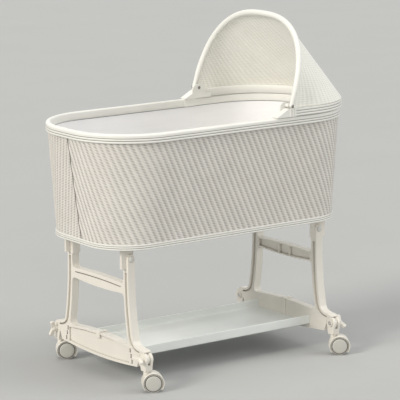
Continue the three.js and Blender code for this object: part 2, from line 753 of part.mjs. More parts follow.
// Caster arm: two cheeks astride the frame's eye, joined below it by the block that holds the stem
function armOutline() {
  const shape = new THREE.Shape();
  const low = ARM_BOTTOM;
  shape.moveTo(FOOT_Y - ARM_NECK, low);
  shape.lineTo(FOOT_Y + ARM_NECK, low);
  shape.lineTo(FOOT_Y + ARM_NECK + 2, low + 2);
  shape.lineTo(...polar(ARM_WALL_ANGLE, ARM_RADIUS));
  const end = 180 - ARM_WALL_ANGLE;
  shape.absarc(FOOT_Y, PIVOT_Z, ARM_RADIUS, radians(ARM_WALL_ANGLE), radians(end), false);
  return shape;
}

function armSolid(bossSide) {
  const half = FRAME_DEPTH / 2 - GAP;
  const slot = EYE_THICK / 2 + RUNNING;
  const inner = [half, half + BOSS_PROUD].map((x) => bossSide * x).sort((a, b) => a - b);
  const eyeRoom = rodX(EYE_RADIUS + 2 * RUNNING, -slot, slot, FOOT_Y, PIVOT_Z);
  const roomAbove = block([-slot, FOOT_Y - 30, PIVOT_Z], [slot, FOOT_Y + 30, PIVOT_Z + 30]);
  const roomBeside = block(
    [-slot, FOOT_Y - 30, PIVOT_Z - EYE_RADIUS - 2 * RUNNING],
    [slot, FOOT_Y + 30, PIVOT_Z + 1],
  );
  const nutRoom = [half + BOSS_PROUD - NUT_THICK - GAP, half + BOSS_PROUD + 1].map((x) => bossSide * x);
  nutRoom.sort((a, b) => a - b);
  return cut(
    joined(slabX(armOutline(), -half, half), rodX(BOSS_RADIUS, ...inner, FOOT_Y, PIVOT_Z)),
    eyeRoom,
    roomAbove,
    roomBeside,
    rodX(BOLT_RADIUS + RUNNING, -half - 9, half + 9, FOOT_Y, PIVOT_Z),
    rodX(NUT_RADIUS + RUNNING, ...nutRoom, FOOT_Y, PIVOT_Z, 6),
    rodZ(STEM_RADIUS + RUNNING, ARM_BOTTOM - 1, PIVOT_Z - EYE_RADIUS, 0, FOOT_Y),
  );
}

function nutSolid(bossSide) {
  const half = FRAME_DEPTH / 2 - GAP;
  const span = [half + BOSS_PROUD - NUT_THICK, half + BOSS_PROUD].map((x) => bossSide * x);
  span.sort((a, b) => a - b);
  return cut(
    rodX(NUT_RADIUS, ...span, FOOT_Y, PIVOT_Z, 6),
    rodX(BOLT_RADIUS + RUNNING, span[0] - 1, span[1] + 1, FOOT_Y, PIVOT_Z),
  );
}

// Wing knob with its bolt, drawn along +X and turned over for the other side
function knobSolid(side, turn) {
  const seat = FRAME_DEPTH / 2;
  const end = seat + KNOB_HUB_LENGTH;
  const wing = new THREE.Shape();
  wing.moveTo(seat + 3, 0);
  wing.lineTo(seat + 5, KNOB_HUB - 1);
  wing.quadraticCurveTo(seat + WING_FLARE * 0.38, WING_REACH * 0.6, seat + WING_FLARE * 0.55, WING_REACH);
  wing.quadraticCurveTo(seat + WING_FLARE * 0.95, WING_REACH + 1, seat + WING_FLARE, WING_REACH - 4);
  wing.quadraticCurveTo(seat + WING_FLARE * 0.82, WING_REACH * 0.35, end, 0);
  const plate = slabY(wing, -WING_THICK / 2, WING_THICK / 2);
  const tail = FRAME_DEPTH / 2 - GAP + BOSS_PROUD - 1;
  const hub = turned([[0, seat], [KNOB_HUB, seat], [KNOB_HUB, end - 2], [KNOB_HUB - 2, end], [0, end]]);
  const solid = joined(
    toSolid(hub.rotateZ(-Math.PI / 2)),
    plate,
    plate.rotate([180, 0, 0]),
    rodX(BOLT_RADIUS, -tail, seat + 2, 0, 0),
  );
  return solid.rotate([turn * side, 0, side > 0 ? 0 : 180]).translate([0, FOOT_Y, PIVOT_Z]);
}

const AXLE_Z = WHEEL_RADIUS * Math.cos(Math.PI / WHEEL_SIDES);
const WHEEL_INNER = CASTER_WEB / 2 + RUNNING;
const WHEEL_OUTER = WHEEL_INNER + WHEEL_WIDTH;
const AXLE_HALF = WHEEL_OUTER - 4;
const HOUSING_INSIDE = WHEEL_RADIUS + HOOD_GAP;
const HOUSING_OUTSIDE = HOUSING_INSIDE + HOOD_THICK;
const STEM_FOOT = AXLE_Z + STEM_FOOT_RISE;
const STEM_BOSS_TOP = AXLE_Z + HOUSING_OUTSIDE + STEM_RISE;
const STEM_TOP = STEM_BOSS_TOP + SEAT_GAP + STEM_REACH;

// A caster of another height hangs lower or higher under its arm, and the whole part moves so that it stands
// on the floor
const CASTER_DROP = ARM_BOTTOM - SEAT_GAP - STEM_BOSS_TOP;

// Caster housing: web between the wheels, hood over them and the boss that holds the stem
function housingSolid() {
  const inside = HOUSING_INSIDE;
  const outside = HOUSING_OUTSIDE;
  const web = CASTER_WEB / 2;
  const edge = WHEEL_OUTER - 0.4;
  const bore = AXLE_RADIUS + 0.1;
  const profile = [
    [bore, -web],
    [inside, -web],
    [inside, -edge],
    [outside, -edge],
    [outside, edge],
    [inside, edge],
    [inside, web],
    [bore, web],
    [bore, -web],
  ];
  const place = (geometry) => toSolid(geometry.translate(CASTER_TRAIL, 0, AXLE_Z));
  const shell = place(turned(profile, HOOD_SIDES));
  const wheelRoom = (low, high) => rodY(inside, low, high, CASTER_TRAIL, AXLE_Z, HOOD_SIDES);
  const boss = cut(
    rodZ(STEM_BOSS, AXLE_Z, STEM_BOSS_TOP, 0, 0),
    wheelRoom(web, edge + 1),
    wheelRoom(-edge - 1, -web),
  );
  const far = 2 * outside;
  return cut(
    joined(shell, boss),
    block([CASTER_TRAIL - far, -far, -far], [CASTER_TRAIL + far, far, HOOD_CUT]),
    rodZ(STEM_RADIUS + 0.1, STEM_FOOT - GAP, STEM_BOSS_TOP + 1, 0, 0, STEM_SIDES),
    rodY(bore, -far, far, CASTER_TRAIL, AXLE_Z),
  );
}

function wheelGeometry(side) {
  const bore = AXLE_RADIUS + RUNNING;
  const cap = WHEEL_RADIUS * 0.84;
  const profile = [
    [0, WHEEL_OUTER],
    [cap - 1, WHEEL_OUTER - 0.4],
    [cap, WHEEL_OUTER - 1.6],
    [WHEEL_RADIUS - 1.5, WHEEL_OUTER - 1.6],
    [WHEEL_RADIUS, WHEEL_OUTER - 3],
    [WHEEL_RADIUS, WHEEL_INNER + 1.5],
    [WHEEL_RADIUS - 1.5, WHEEL_INNER],
    [bore, WHEEL_INNER],
    [bore, AXLE_HALF + RUNNING],
    [0, AXLE_HALF + RUNNING],
  ];
  const geometry = turned(profile.reverse(), WHEEL_SIDES).rotateY(Math.PI / WHEEL_SIDES);
  if (side < 0) geometry.rotateZ(Math.PI);
  return geometry.translate(CASTER_TRAIL, 0, AXLE_Z);
}

function addCaster(foot, corner, turn) {
  const caster = new THREE.Group();
  caster.position.set(0, FOOT_Y, CASTER_DROP);
  caster.rotation.z = turn;
  foot.add(caster);
  addMesh(caster, `caster_housing_${corner}`, toGeometry(housingSolid()), cream);
  const stem = turned([
    [0, STEM_FOOT],
    [STEM_RADIUS, STEM_FOOT],
    [STEM_RADIUS, STEM_TOP - 1.5],
    [STEM_RADIUS - 1, STEM_TOP],
    [0, STEM_TOP],
  ], STEM_SIDES);
  addMesh(caster, `caster_stem_${corner}`, stem.rotateX(Math.PI / 2), steel);
  const axle = rodY(AXLE_RADIUS, -AXLE_HALF, AXLE_HALF, CASTER_TRAIL, AXLE_Z, 12);
  addMesh(caster, `caster_axle_${corner}`, toGeometry(axle), steel);
  addMesh(caster, `wheel_a_${corner}`, wheelGeometry(1), tread);
  addMesh(caster, `wheel_b_${corner}`, wheelGeometry(-1), tread);
}

// Everything at one corner of the stand, drawn on the +Y side and turned half round for the front
function addCorner(corner, sideX, sideY) {
  const foot = new THREE.Group();
  foot.position.x = sideX * FRAME_X;
  foot.rotation.z = sideY > 0 ? 0 : Math.PI;
  model.add(foot);
  const outward = sideX * sideY;
  addMesh(foot, `leg_socket_${corner}`, toGeometry(socketSolid(outward)), cream);
  addMesh(foot, `release_button_${corner}`, buttonGeometry(), ivory);
  addMesh(foot, `button_spring_${corner}`, springGeometry(), steel);
  addMesh(foot, `caster_arm_${corner}`, toGeometry(armSolid(-outward)), cream);
  addMesh(foot, `clamp_nut_${corner}`, toGeometry(nutSolid(-outward)), steel);
  addMesh(foot, `wing_knob_${corner}`, toGeometry(knobSolid(outward, KNOB_TURN[corner])), cream);
  addCaster(foot, corner, radians(SWIVEL[corner]) - foot.rotation.z);
}

// Points along the head end of the rim, from the -Y side round to the +Y side, each with its outward normal
function headPath(start, inset) {
  const corner = RIM_CORNER - inset;
  const middleX = RIM_LENGTH / 2 - RIM_CORNER;
  const middleY = RIM_WIDTH / 2 - RIM_CORNER;
  const half = [{ x: start, y: middleY + corner, turn: Math.PI / 2 }];
  steps(Math.PI / 2, 0, CORNER_STEPS).forEach((turn) => {
    half.push({ x: middleX + corner * Math.cos(turn), y: middleY + corner * Math.sin(turn), turn });
  });
  const near = half.map((p) => ({ x: p.x, y: -p.y, turn: -p.turn }));
  return [...near, ...half.reverse()];
}

const RAIL_BOTTOM = RIM_TOP + GAP;
const RAIL_TOP = RAIL_BOTTOM + RAIL_HEIGHT;
const HINGE_Z = RAIL_TOP + RUNNING + BOW_RADIUS;
const HINGE_Y = BOW_HALF_WIDTH;

function addRail() {
  const face = ridges(RAIL_BOTTOM, RAIL_TOP, RAIL_RIDGES);
  const profile = [
    ...face,
    [2, RAIL_TOP],
    [RAIL_DEPTH - 1, RAIL_TOP],
    [RAIL_DEPTH, RAIL_TOP - 1.5],
    [RAIL_DEPTH, RAIL_BOTTOM],
    [1, RAIL_BOTTOM],
  ];
  const rings = headPath(RAIL_START, -RAIL_PROUD).map(({ x, y, turn }) => profile.map(([inset, z]) => {
    return new THREE.Vector3(x - inset * Math.cos(turn), y - inset * Math.sin(turn), z);
  }));
  addMesh(model, 'hood_rail', cappedGeometry(rings), ivory);
}

// Middle line of the bow: a tall arch that leans back, from the -Y hinge (0) to the +Y hinge (1)
function bowPoint(share) {
  const turn = Math.PI * (1 - share);
  const power = 2 / BOW_POWER;
  const y = BOW_HALF_WIDTH * Math.sign(Math.cos(turn)) * Math.abs(Math.cos(turn)) ** power;
  const rise = BOW_HEIGHT * Math.abs(Math.sin(turn)) ** power;
  return new THREE.Vector3(BOW_FOOT_X + BOW_LEAN * rise, y, HINGE_Z + rise);
}

function addBow() {
  class Arch extends THREE.Curve {
    getPoint(share, target = new THREE.Vector3()) {
      return target.copy(bowPoint(share));
    }
  }
  const section = new THREE.Shape();
  section.absarc(0, 0, BOW_RADIUS, 0, 2 * Math.PI, false);
  const path = { extrudePath: new Arch(), steps: BOW_STEPS, curveSegments: CURVE_STEPS };
  const tube = new THREE.ExtrudeGeometry(section, path);
  const knuckles = [-1, 1].map((side) => {
    const middle = side * HINGE_Y;
    return rodY(BOW_RADIUS, middle - BOW_RADIUS, middle + BOW_RADIUS, BOW_FOOT_X, HINGE_Z, 16);
  });
  const bores = [-1, 1].map((side) => {
    return rodY(RIVET_RADIUS + RUNNING, side * HINGE_Y - 12, side * HINGE_Y + 12, BOW_FOOT_X, HINGE_Z, 12);
  });
  addMesh(model, 'hood_bow', toGeometry(cut(joined(toSolid(tube), ...knuckles), ...bores)), ivory);
}

// Woven skin: a sheet of straight lines from the rail's top to the back of the bow
function addSkin() {
  const low = headPath(RAIL_START + SKIN_START, RAIL_DEPTH / 2 - RAIL_PROUD);
  const curve = new THREE.CurvePath();
  const along = low.map(({ x, y }) => new THREE.Vector3(x, y, RAIL_TOP + GAP + 0.2));
  along.slice(1).forEach((p, i) => curve.add(new THREE.LineCurve3(along[i], p)));
  const first = 0.045;
  const column = (share) => {
    const foot = curve.getPointAt(share);
    const place = THREE.MathUtils.lerp(first, 1 - first, share);
    const head = bowPoint(place);
    const tangent = bowPoint(place + 0.01).sub(bowPoint(place - 0.01)).normalize();
    const back = new THREE.Vector3().subVectors(foot, head);
    back.addScaledVector(tangent, -back.dot(tangent)).normalize();
    head.addScaledVector(back, BOW_RADIUS + GAP + SKIN_THICK);
    return steps(0, 1, SKIN_ROWS).map((up) => new THREE.Vector3().lerpVectors(foot, head, up));
  };
  const grid = steps(0, 1, SKIN_COLUMNS).map(column);
  const pick = (i, j) => grid[Math.min(Math.max(i, 0), SKIN_COLUMNS)][Math.min(Math.max(j, 0), SKIN_ROWS)];
  const faces = [0, 1].map((face) => grid.map((line, i) => line.map((p, j) => {
    const across = new THREE.Vector3().subVectors(pick(i + 1, j), pick(i - 1, j));
    const up = new THREE.Vector3().subVectors(pick(i, j + 1), pick(i, j - 1));
    const normal = new THREE.Vector3().crossVectors(across, up).normalize();
    return p.clone().addScaledVector(normal, face * SKIN_THICK);
  })));
  const rings = grid.map((_, i) => [...faces[0][i], ...faces[1][i].slice().reverse()]);
  addMesh(model, 'hood_skin', cappedGeometry(rings), woven);
}

// Clip at each front end of the rail: a ribbed block, a sloped nose down to the rim, a hook plate inside it
// and the ear that carries the bow's hinge
function addClips() {
  const outerY = RIM_WIDTH / 2 + RAIL_PROUD;
  const innerY = outerY - RAIL_DEPTH;
  const back = RAIL_START - GAP;
  const front = back - CLIP_LENGTH;
  const nose = front - NOSE_LENGTH;
  const side = new THREE.Shape([
    new THREE.Vector2(nose, RAIL_BOTTOM),
    new THREE.Vector2(back, RAIL_BOTTOM),
    new THREE.Vector2(back, RAIL_TOP),
    new THREE.Vector2(front, RAIL_TOP),
    new THREE.Vector2(front - 4, RAIL_TOP - 1.6),
    new THREE.Vector2(nose + 4, RAIL_BOTTOM + NOSE_TIP + 1.5),
    new THREE.Vector2(nose, RAIL_BOTTOM + NOSE_TIP),
  ]);
  const ribPitch = CLIP_LENGTH / CLIP_RIBS;
  const ribs = Array.from({ length: CLIP_RIBS }, (_, i) => {
    const x = front + (i + 0.5) * ribPitch;
    return rodZ(ribPitch * 0.42, RAIL_BOTTOM, RAIL_TOP, x, outerY - 1.2, 10);
  });
  const earFace = innerY - GAP;
  const earBack = BOW_FOOT_X + EAR_WIDTH / 2;
  const earFront = BOW_FOOT_X - EAR_WIDTH / 2;
  const earTop = HINGE_Z + 9;
  const ear = new THREE.Shape();
  ear.moveTo(earFront, RAIL_BOTTOM);
  ear.lineTo(earBack + TAB_LENGTH, RAIL_BOTTOM);
  ear.lineTo(earBack + TAB_LENGTH, RAIL_BOTTOM + TAB_HEIGHT);
  ear.lineTo(earBack, RAIL_BOTTOM + TAB_HEIGHT);
  ear.lineTo(earBack, HINGE_Z);
  ear.quadraticCurveTo(earBack, earTop, BOW_FOOT_X, earTop);
  ear.quadraticCurveTo(earFront, earTop, earFront, RAIL_TOP);
  const hookFace = RIM_WIDTH / 2 - RIM_INNER_FACE - GAP;
  const clipInside = Math.min(earFace - EAR_THICK, hookFace - HOOK_PLATE);
  const solid = cut(
    joined(
      slabY(side, clipInside, outerY),
      slabY(ear, earFace - EAR_THICK, earFace),
      rodY(BOW_RADIUS - RUNNING, earFace - 1, HINGE_Y - BOW_RADIUS - GAP, BOW_FOOT_X, HINGE_Z),
      block([nose, hookFace - HOOK_PLATE, RIM_TOP - RIM_INNER_DROP], [front, hookFace, RAIL_BOTTOM + 2]),
      ...ribs,
    ),
    rodY(RIVET_RADIUS + RUNNING, 0, HINGE_Y, BOW_FOOT_X, HINGE_Z, 12),
  );
  const ends = [earFace - EAR_THICK - GAP, HINGE_Y + BOW_RADIUS + GAP];
  const rivet = turned([
    [0, ends[0] - 1.6],
    [RIVET_HEAD - 0.8, ends[0] - 1.6],
    [RIVET_HEAD, ends[0]],
    [RIVET_RADIUS, ends[0]],
    [RIVET_RADIUS, ends[1]],
    [RIVET_HEAD, ends[1]],
    [RIVET_HEAD - 1.2, ends[1] + 1.8],
    [0, ends[1] + 2],
  ], 12).translate(BOW_FOOT_X, 0, HINGE_Z);
  const mirrorY = new THREE.Matrix4().makeScale(1, -1, 1);
  const flip = (geometry) => {
    const turnedOver = geometry.clone().applyMatrix4(mirrorY);
    turnedOver.index.array.reverse();
    return turnedOver;
  };
  const clip = toGeometry(solid);
  addMesh(model, 'hood_clip_rear', clip, ivory);
  addMesh(model, 'hood_clip_front', flip(clip), ivory);
  addMesh(model, 'hood_rivet_rear', rivet, steel);
  addMesh(model, 'hood_rivet_front', flip(rivet), steel);
}

addBasket();
addPad();
addFrames();
addShelf();
addCorner('front_left', -1, -1);
addCorner('front_right', 1, -1);
addCorner('rear_left', -1, 1);
addCorner('rear_right', 1, 1);
addRail();
addBow();
addSkin();
addClips();
model.position.z = -CASTER_DROP;

export default model;
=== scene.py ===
import json
import math

import bmesh
import bpy
import numpy as np
from mathutils import Matrix, Vector

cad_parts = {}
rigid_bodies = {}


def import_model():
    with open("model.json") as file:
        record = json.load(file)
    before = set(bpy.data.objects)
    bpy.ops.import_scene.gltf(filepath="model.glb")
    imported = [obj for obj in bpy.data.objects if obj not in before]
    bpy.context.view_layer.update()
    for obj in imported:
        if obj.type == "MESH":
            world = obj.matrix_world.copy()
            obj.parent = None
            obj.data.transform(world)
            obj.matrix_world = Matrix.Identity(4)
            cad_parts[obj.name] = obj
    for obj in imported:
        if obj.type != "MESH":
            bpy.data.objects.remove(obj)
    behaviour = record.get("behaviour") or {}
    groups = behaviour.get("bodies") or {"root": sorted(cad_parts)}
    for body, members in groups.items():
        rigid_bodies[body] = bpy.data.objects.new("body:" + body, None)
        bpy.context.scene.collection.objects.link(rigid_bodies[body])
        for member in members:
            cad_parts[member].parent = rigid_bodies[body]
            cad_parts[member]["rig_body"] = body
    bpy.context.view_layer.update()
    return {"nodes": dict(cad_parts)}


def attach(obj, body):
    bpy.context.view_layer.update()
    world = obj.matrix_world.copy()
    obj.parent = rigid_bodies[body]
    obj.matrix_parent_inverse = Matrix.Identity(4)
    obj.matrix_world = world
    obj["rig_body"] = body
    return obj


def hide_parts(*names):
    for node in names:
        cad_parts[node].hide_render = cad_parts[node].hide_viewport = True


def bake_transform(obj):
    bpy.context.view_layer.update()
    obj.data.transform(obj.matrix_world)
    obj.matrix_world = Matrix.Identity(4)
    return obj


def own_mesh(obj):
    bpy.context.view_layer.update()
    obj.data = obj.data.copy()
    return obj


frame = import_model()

MM = 0.001
CORNERS = {
    "front_left": (-1, -1),
    "front_right": (1, -1),
    "rear_left": (-1, 1),
    "rear_right": (1, 1),
}

# Sizes from the part's source, in millimetres
RIM_LENGTH, RIM_WIDTH, RIM_CORNER, RIM_TOP = 800, 414, 174, 645
BASE_LENGTH, BASE_WIDTH, BASE_CORNER, BASE_BOTTOM = 738, 350, 112, 352
PROUD = 3
WALL_BOTTOM, WALL_TOP = 355.8, 638.3
WALL_INSET, WALL_INNER = 2.1, 6.1
RIM_INNER_FACE = 13.18
PAD_BOTTOM, PAD_THICK = 362.1, 32
FRAME_X = 296.5
LEG_TOP_Y, BUTTON_Z, BUTTON_SEAT = 138, 324.5, 127.7
SPRING_END, SPRING_LENGTH = 115.8, 11.6
FOOT_Y, AXLE_Z, CASTER_TRAIL = 198, 23.635, 15.5
WHEEL_INNER, WHEEL_OUTER, WHEEL_RADIUS = 6.0, 17.6, 23.6
SWIVEL = {"front_left": -27, "rear_left": -27, "front_right": -34, "rear_right": 34}
RAIL_START, RAIL_BOTTOM, RAIL_TOP, RAIL_PROUD, RAIL_DEPTH = 163.5, 645.3, 666.3, 4, 19
HINGE_Y, HINGE_Z = 210, 672.7
BOW_RADIUS, BOW_HEIGHT, BOW_POWER, BOW_FOOT_X, BOW_LEAN = 6, 211, 2.57, 147, 0.33


# ---- mesh helpers

def make_mesh(name, points, faces, smooth_angle=40):
    """A mesh from points in millimetres, smooth except at edges sharper than smooth_angle."""
    mesh = bpy.data.meshes.new(name)
    mesh.from_pydata((np.asarray(points, float) * MM).tolist(), [], faces)
    mesh.update()
    finish_mesh(mesh, smooth_angle)
    return mesh


def finish_mesh(mesh, smooth_angle):
    bm = bmesh.new()
    bm.from_mesh(mesh)
    bmesh.ops.recalc_face_normals(bm, faces=bm.faces)
    bm.to_mesh(mesh)
    bm.free()
    mesh.shade_smooth()
    mesh.set_sharp_from_angle(angle=math.radians(smooth_angle))


def add(name, mesh, material, body=None, stands_for=()):
    piece = bpy.data.objects.new(name, mesh)
    bpy.context.scene.collection.objects.link(piece)
    mesh.materials.clear()
    mesh.materials.append(material)
    if body:
        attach(piece, body)
    if stands_for:
        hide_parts(*stands_for)
    return piece


def grid_faces(rows, columns, close_rows=False, close_columns=False):
    faces = []
    for i in range(rows if close_rows else rows - 1):
        for j in range(columns if close_columns else columns - 1):
            a, b = i * columns + j, i * columns + (j + 1) % columns
            k = (i + 1) % rows
            faces.append((a, b, k * columns + (j + 1) % columns, k * columns + j))
    return faces


def rounded_ring(length, width, corner, z, steps=30):
    ring = []
    for quarter, (sx, sy) in enumerate(((1, 1), (-1, 1), (-1, -1), (1, -1))):
        for i in range(steps + 1):
            turn = (quarter + i / steps) * math.pi / 2
            ring.append((
                sx * (length / 2 - corner) + corner * math.cos(turn),
                sy * (width / 2 - corner) + corner * math.sin(turn),
                z,
            ))
    return ring


def rim_ring(inset, z):
    return rounded_ring(RIM_LENGTH - 2 * inset, RIM_WIDTH - 2 * inset, RIM_CORNER - inset, z)


def trim_ring(inset, z):
    return rounded_ring(BASE_LENGTH - 2 * inset, BASE_WIDTH - 2 * inset, BASE_CORNER - inset, z)


def side_sizes(inset, z):
    """Half length, half width and corner of the basket's tapering side at one height."""
    rise = (z - BASE_BOTTOM) / (RIM_TOP - BASE_BOTTOM)

    def between(base, rim):
        return base - PROUD + (rim - base) * rise - inset

    return (
        between(BASE_LENGTH / 2, RIM_LENGTH / 2),
        between(BASE_WIDTH / 2, RIM_WIDTH / 2),
        between(BASE_CORNER, RIM_CORNER),
    )


def side_ring(inset, z):
    length, width, corner = side_sizes(inset, z)
    return rounded_ring(2 * length, 2 * width, corner, z)


def ring_band(name, rings, smooth_angle=40):
    """Closed band through rings of equal count, closed round its section as well."""
    points = np.array(rings, float)
    return make_mesh(name, points.reshape(-1, 3), grid_faces(*points.shape[:2], True, True), smooth_angle)


def capped(name, rings, smooth_angle=40):
    """Tube through closed rings, with a flat face at each end."""
    points = np.array(rings, float)
    rows, columns = points.shape[:2]
    faces = grid_faces(rows, columns, False, True)
    faces.append(tuple(range(columns)))
    faces.append(tuple((rows - 1) * columns + j for j in reversed(range(columns))))
    return make_mesh(name, points.reshape(-1, 3), faces, smooth_angle)


def turned(name, profile, place, sides=40, smooth_angle=35):
    """Profile of (radius, along) pairs turned about local Y, then placed by a matrix in millimetres."""
    points, faces, rows = [], [], []
    for radius, along in profile:
        if radius < 1e-6:
            rows.append([len(points)])
            points.append((0, along, 0))
            continue
        row = []
        for k in range(sides):
            turn = 2 * math.pi * k / sides
            row.append(len(points))
            points.append((radius * math.cos(turn), along, radius * math.sin(turn)))
        rows.append(row)
    for low, high in zip(rows, rows[1:]):
        for k in range(sides):
            n = (k + 1) % sides
            if len(low) == 1 and len(high) > 1:
                faces.append((low[0], high[k], high[n]))
            elif len(high) == 1 and len(low) > 1:
                faces.append((low[k], low[n], high[0]))
            elif len(low) > 1:
                faces.append((low[k], low[n], high[n], high[k]))
    points = [tuple(place @ Vector(p)) for p in points]
    return make_mesh(name, points, faces, smooth_angle)


# The groove attribute is the share of painted shade that the plastic and board materials lay on each point.
def mark_groove_shade(mesh, grooves, columns=1):
    attribute = mesh.attributes.new("groove", "FLOAT", "POINT")
    values = np.zeros(len(mesh.vertices), np.float32)
    marked = np.repeat(np.asarray(grooves, np.float32), columns)
    values[:len(marked)] = marked
    attribute.data.foreach_set("value", values)


def round_off(bm, edges, offset, segments):
    bmesh.ops.bevel(
        bm,
        geom=edges,
        offset=offset * MM,
        offset_type="OFFSET",
        segments=segments,
        profile=0.5,
        affect="EDGES",
        clamp_overlap=True,
    )


def refined(node, offset, material, sharp=32, segments=2, wide=None):
    """A moulded copy of a CAD node: flat faces joined up and every sharp edge rounded off, the wide ones more."""
    bm = bmesh.new()
    bm.from_mesh(frame["nodes"][node].data)
    bmesh.ops.remove_doubles(bm, verts=bm.verts, dist=2e-5)
    bmesh.ops.dissolve_degenerate(bm, dist=2e-5, edges=bm.edges)
    bmesh.ops.dissolve_limit(bm, angle_limit=math.radians(0.5), verts=bm.verts, edges=bm.edges)
    if wide:
        chosen = [e for e in bm.edges if wide(*(v.co / MM for v in e.verts)) and e.calc_face_angle(0) > 1]
        round_off(bm, chosen, 4.5, 4)
    edges = []
    for edge in bm.edges:
        if len(edge.link_faces) == 2 and edge.calc_face_angle(0) > math.radians(sharp):
            edges.append(edge)
    round_off(bm, edges, offset, segments)
    mesh = bpy.data.meshes.new(node + ".moulded")
    bm.to_mesh(mesh)
    bm.free()
    for name in ("custom_normal", "sharp_face", "sharp_edge"):
        if name in mesh.attributes:
            mesh.attributes.remove(mesh.attributes[name])
    mesh.shade_smooth()
    mesh.set_sharp_from_angle(angle=math.radians(48))
    body = frame["nodes"][node]["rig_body"]
    piece = add(node + ".moulded", mesh, material, body, [node])
    normals = piece.modifiers.new("face weighted normals", "WEIGHTED_NORMAL")
    normals.keep_sharp = True
    return piece


# ---- materials

class Graph:
    """Short hand for a material's nodes."""

    def __init__(self, name):
        self.material = bpy.data.materials.new(name)
        self.material.use_nodes = True
        self.tree = self.material.node_tree
        self.shader = self.tree.nodes["Principled BSDF"]

    def node(self, kind, **settings):
        node = self.tree.nodes.new(kind)
        for key, value in settings.items():
            setattr(node, key, value)
        return node

    def put(self, socket, value):
        if isinstance(value, bpy.types.NodeSocket):
            self.tree.links.new(value, socket)
        else:
            socket.default_value = value

    def math(self, operation, a, b=0.0, clamp=False):
        node = self.node("ShaderNodeMath", operation=operation, use_clamp=clamp)
        self.put(node.inputs[0], a)
        self.put(node.inputs[1], b)
        return node.outputs[0]

    def mix(self, share, a, b):
        node = self.node("ShaderNodeMix", data_type="RGBA")
        self.put(node.inputs[0], share)
        self.put(node.inputs[6], a if isinstance(a, bpy.types.NodeSocket) else (*a, 1))
        self.put(node.inputs[7], b if isinstance(b, bpy.types.NodeSocket) else (*b, 1))
        return node.outputs[2]

    def ranged(self, value, low, high, to_low=0.0, to_high=1.0):
        node = self.node("ShaderNodeMapRange")
        for socket, number in zip(node.inputs[:5], (value, low, high, to_low, to_high)):
            self.put(socket, number)
        return node.outputs[0]

    def place(self, stretch=(1, 1, 1)):
        coordinates = self.node("ShaderNodeTexCoord").outputs["Object"]
        mapping = self.node("ShaderNodeMapping")
        mapping.inputs["Scale"].default_value = stretch
        self.put(mapping.inputs["Vector"], coordinates)
        return mapping.outputs[0]

    def noise(self, scale, detail=3.0, where=None):
        node = self.node("ShaderNodeTexNoise")
        self.put(node.inputs["Vector"], where or self.place())
        node.inputs["Scale"].default_value = scale
        node.inputs["Detail"].default_value = detail
        return node.outputs["Fac"]

    def attribute(self, name):
        return self.node("ShaderNodeAttribute", attribute_name=name).outputs["Fac"]

    def bump(self, height, distance, strength=1.0, below=None):
        node = self.node("ShaderNodeBump")
        node.inputs["Strength"].default_value = strength
        node.inputs["Distance"].default_value = distance
        self.put(node.inputs["Height"], height)
        if below:
            self.put(node.inputs["Normal"], below)
        return node.outputs[0]

    def edges(self, radius):
        """0 on open faces and towards 1 on outer and inner edges."""
        rounded = self.node("ShaderNodeBevel", samples=4)
        rounded.inputs["Radius"].default_value = radius
        likeness = self.node("ShaderNodeVectorMath", operation="DOT_PRODUCT")
        self.put(likeness.inputs[0], rounded.outputs[0])
        self.put(likeness.inputs[1], self.node("ShaderNodeNewGeometry").outputs["Normal"])
        return self.ranged(likeness.outputs["Value"], 0.995, 0.85)

    def creases(self, distance):
        """1 in the open and towards 0 deep in a crease."""
        node = self.node("ShaderNodeAmbientOcclusion", samples=6, only_local=True)
        node.inputs["Distance"].default_value = distance
        return node.outputs["AO"]


def shade(colour, factor):
    return tuple(min(1.0, c * factor) for c in colour)


def plastic(name, colour, rough, crease=0.004, crease_dark=0.72, peel=0.00012, coat=0.0, scuffs=0.07):
    """Moulded plastic: faint mottling, orange peel, painted shade in the creases and grooves, and edges rubbed a
    little paler.
    """
    g = Graph(name)
    mottle = g.noise(11.0, 4.0)
    tint = g.mix(g.ranged(mottle, 0.3, 0.7), shade(colour, 0.965), shade(colour, 1.02))
    tint = g.mix(g.edges(0.0012), tint, shade(colour, 1.08))
    # Painted shade: the colour is darkened deep in creases, found by ambient occlusion, and darker still where the
    # groove attribute is set.
    crease_shade = (colour[0] * crease_dark, colour[1] * crease_dark * 0.985, colour[2] * crease_dark * 0.95)
    open_sky = g.ranged(g.creases(crease), 0.35, 0.85)
    tint = g.mix(open_sky, crease_shade, tint)
    g.put(g.shader.inputs["Base Color"], g.mix(g.attribute("groove"), tint, shade(crease_shade, 0.42)))
    g.shader.inputs["Roughness"].default_value = rough
    if scuffs:
        scuff = g.noise(60.0, 5.0)
        g.put(g.shader.inputs["Roughness"], g.ranged(scuff, 0.3, 0.75, rough - scuffs, rough + scuffs))
    grain = g.bump(g.noise(1400.0, 2.0), peel, 0.5)
    g.put(g.shader.inputs["Normal"], g.bump(g.noise(30.0, 1.0), peel * 2, 0.3, grain))
    g.shader.inputs["Coat Weight"].default_value = coat
    g.shader.inputs["Coat Roughness"].default_value = 0.18
    g.shader.inputs["Specular IOR Level"].default_value = 0.45
    return g.material


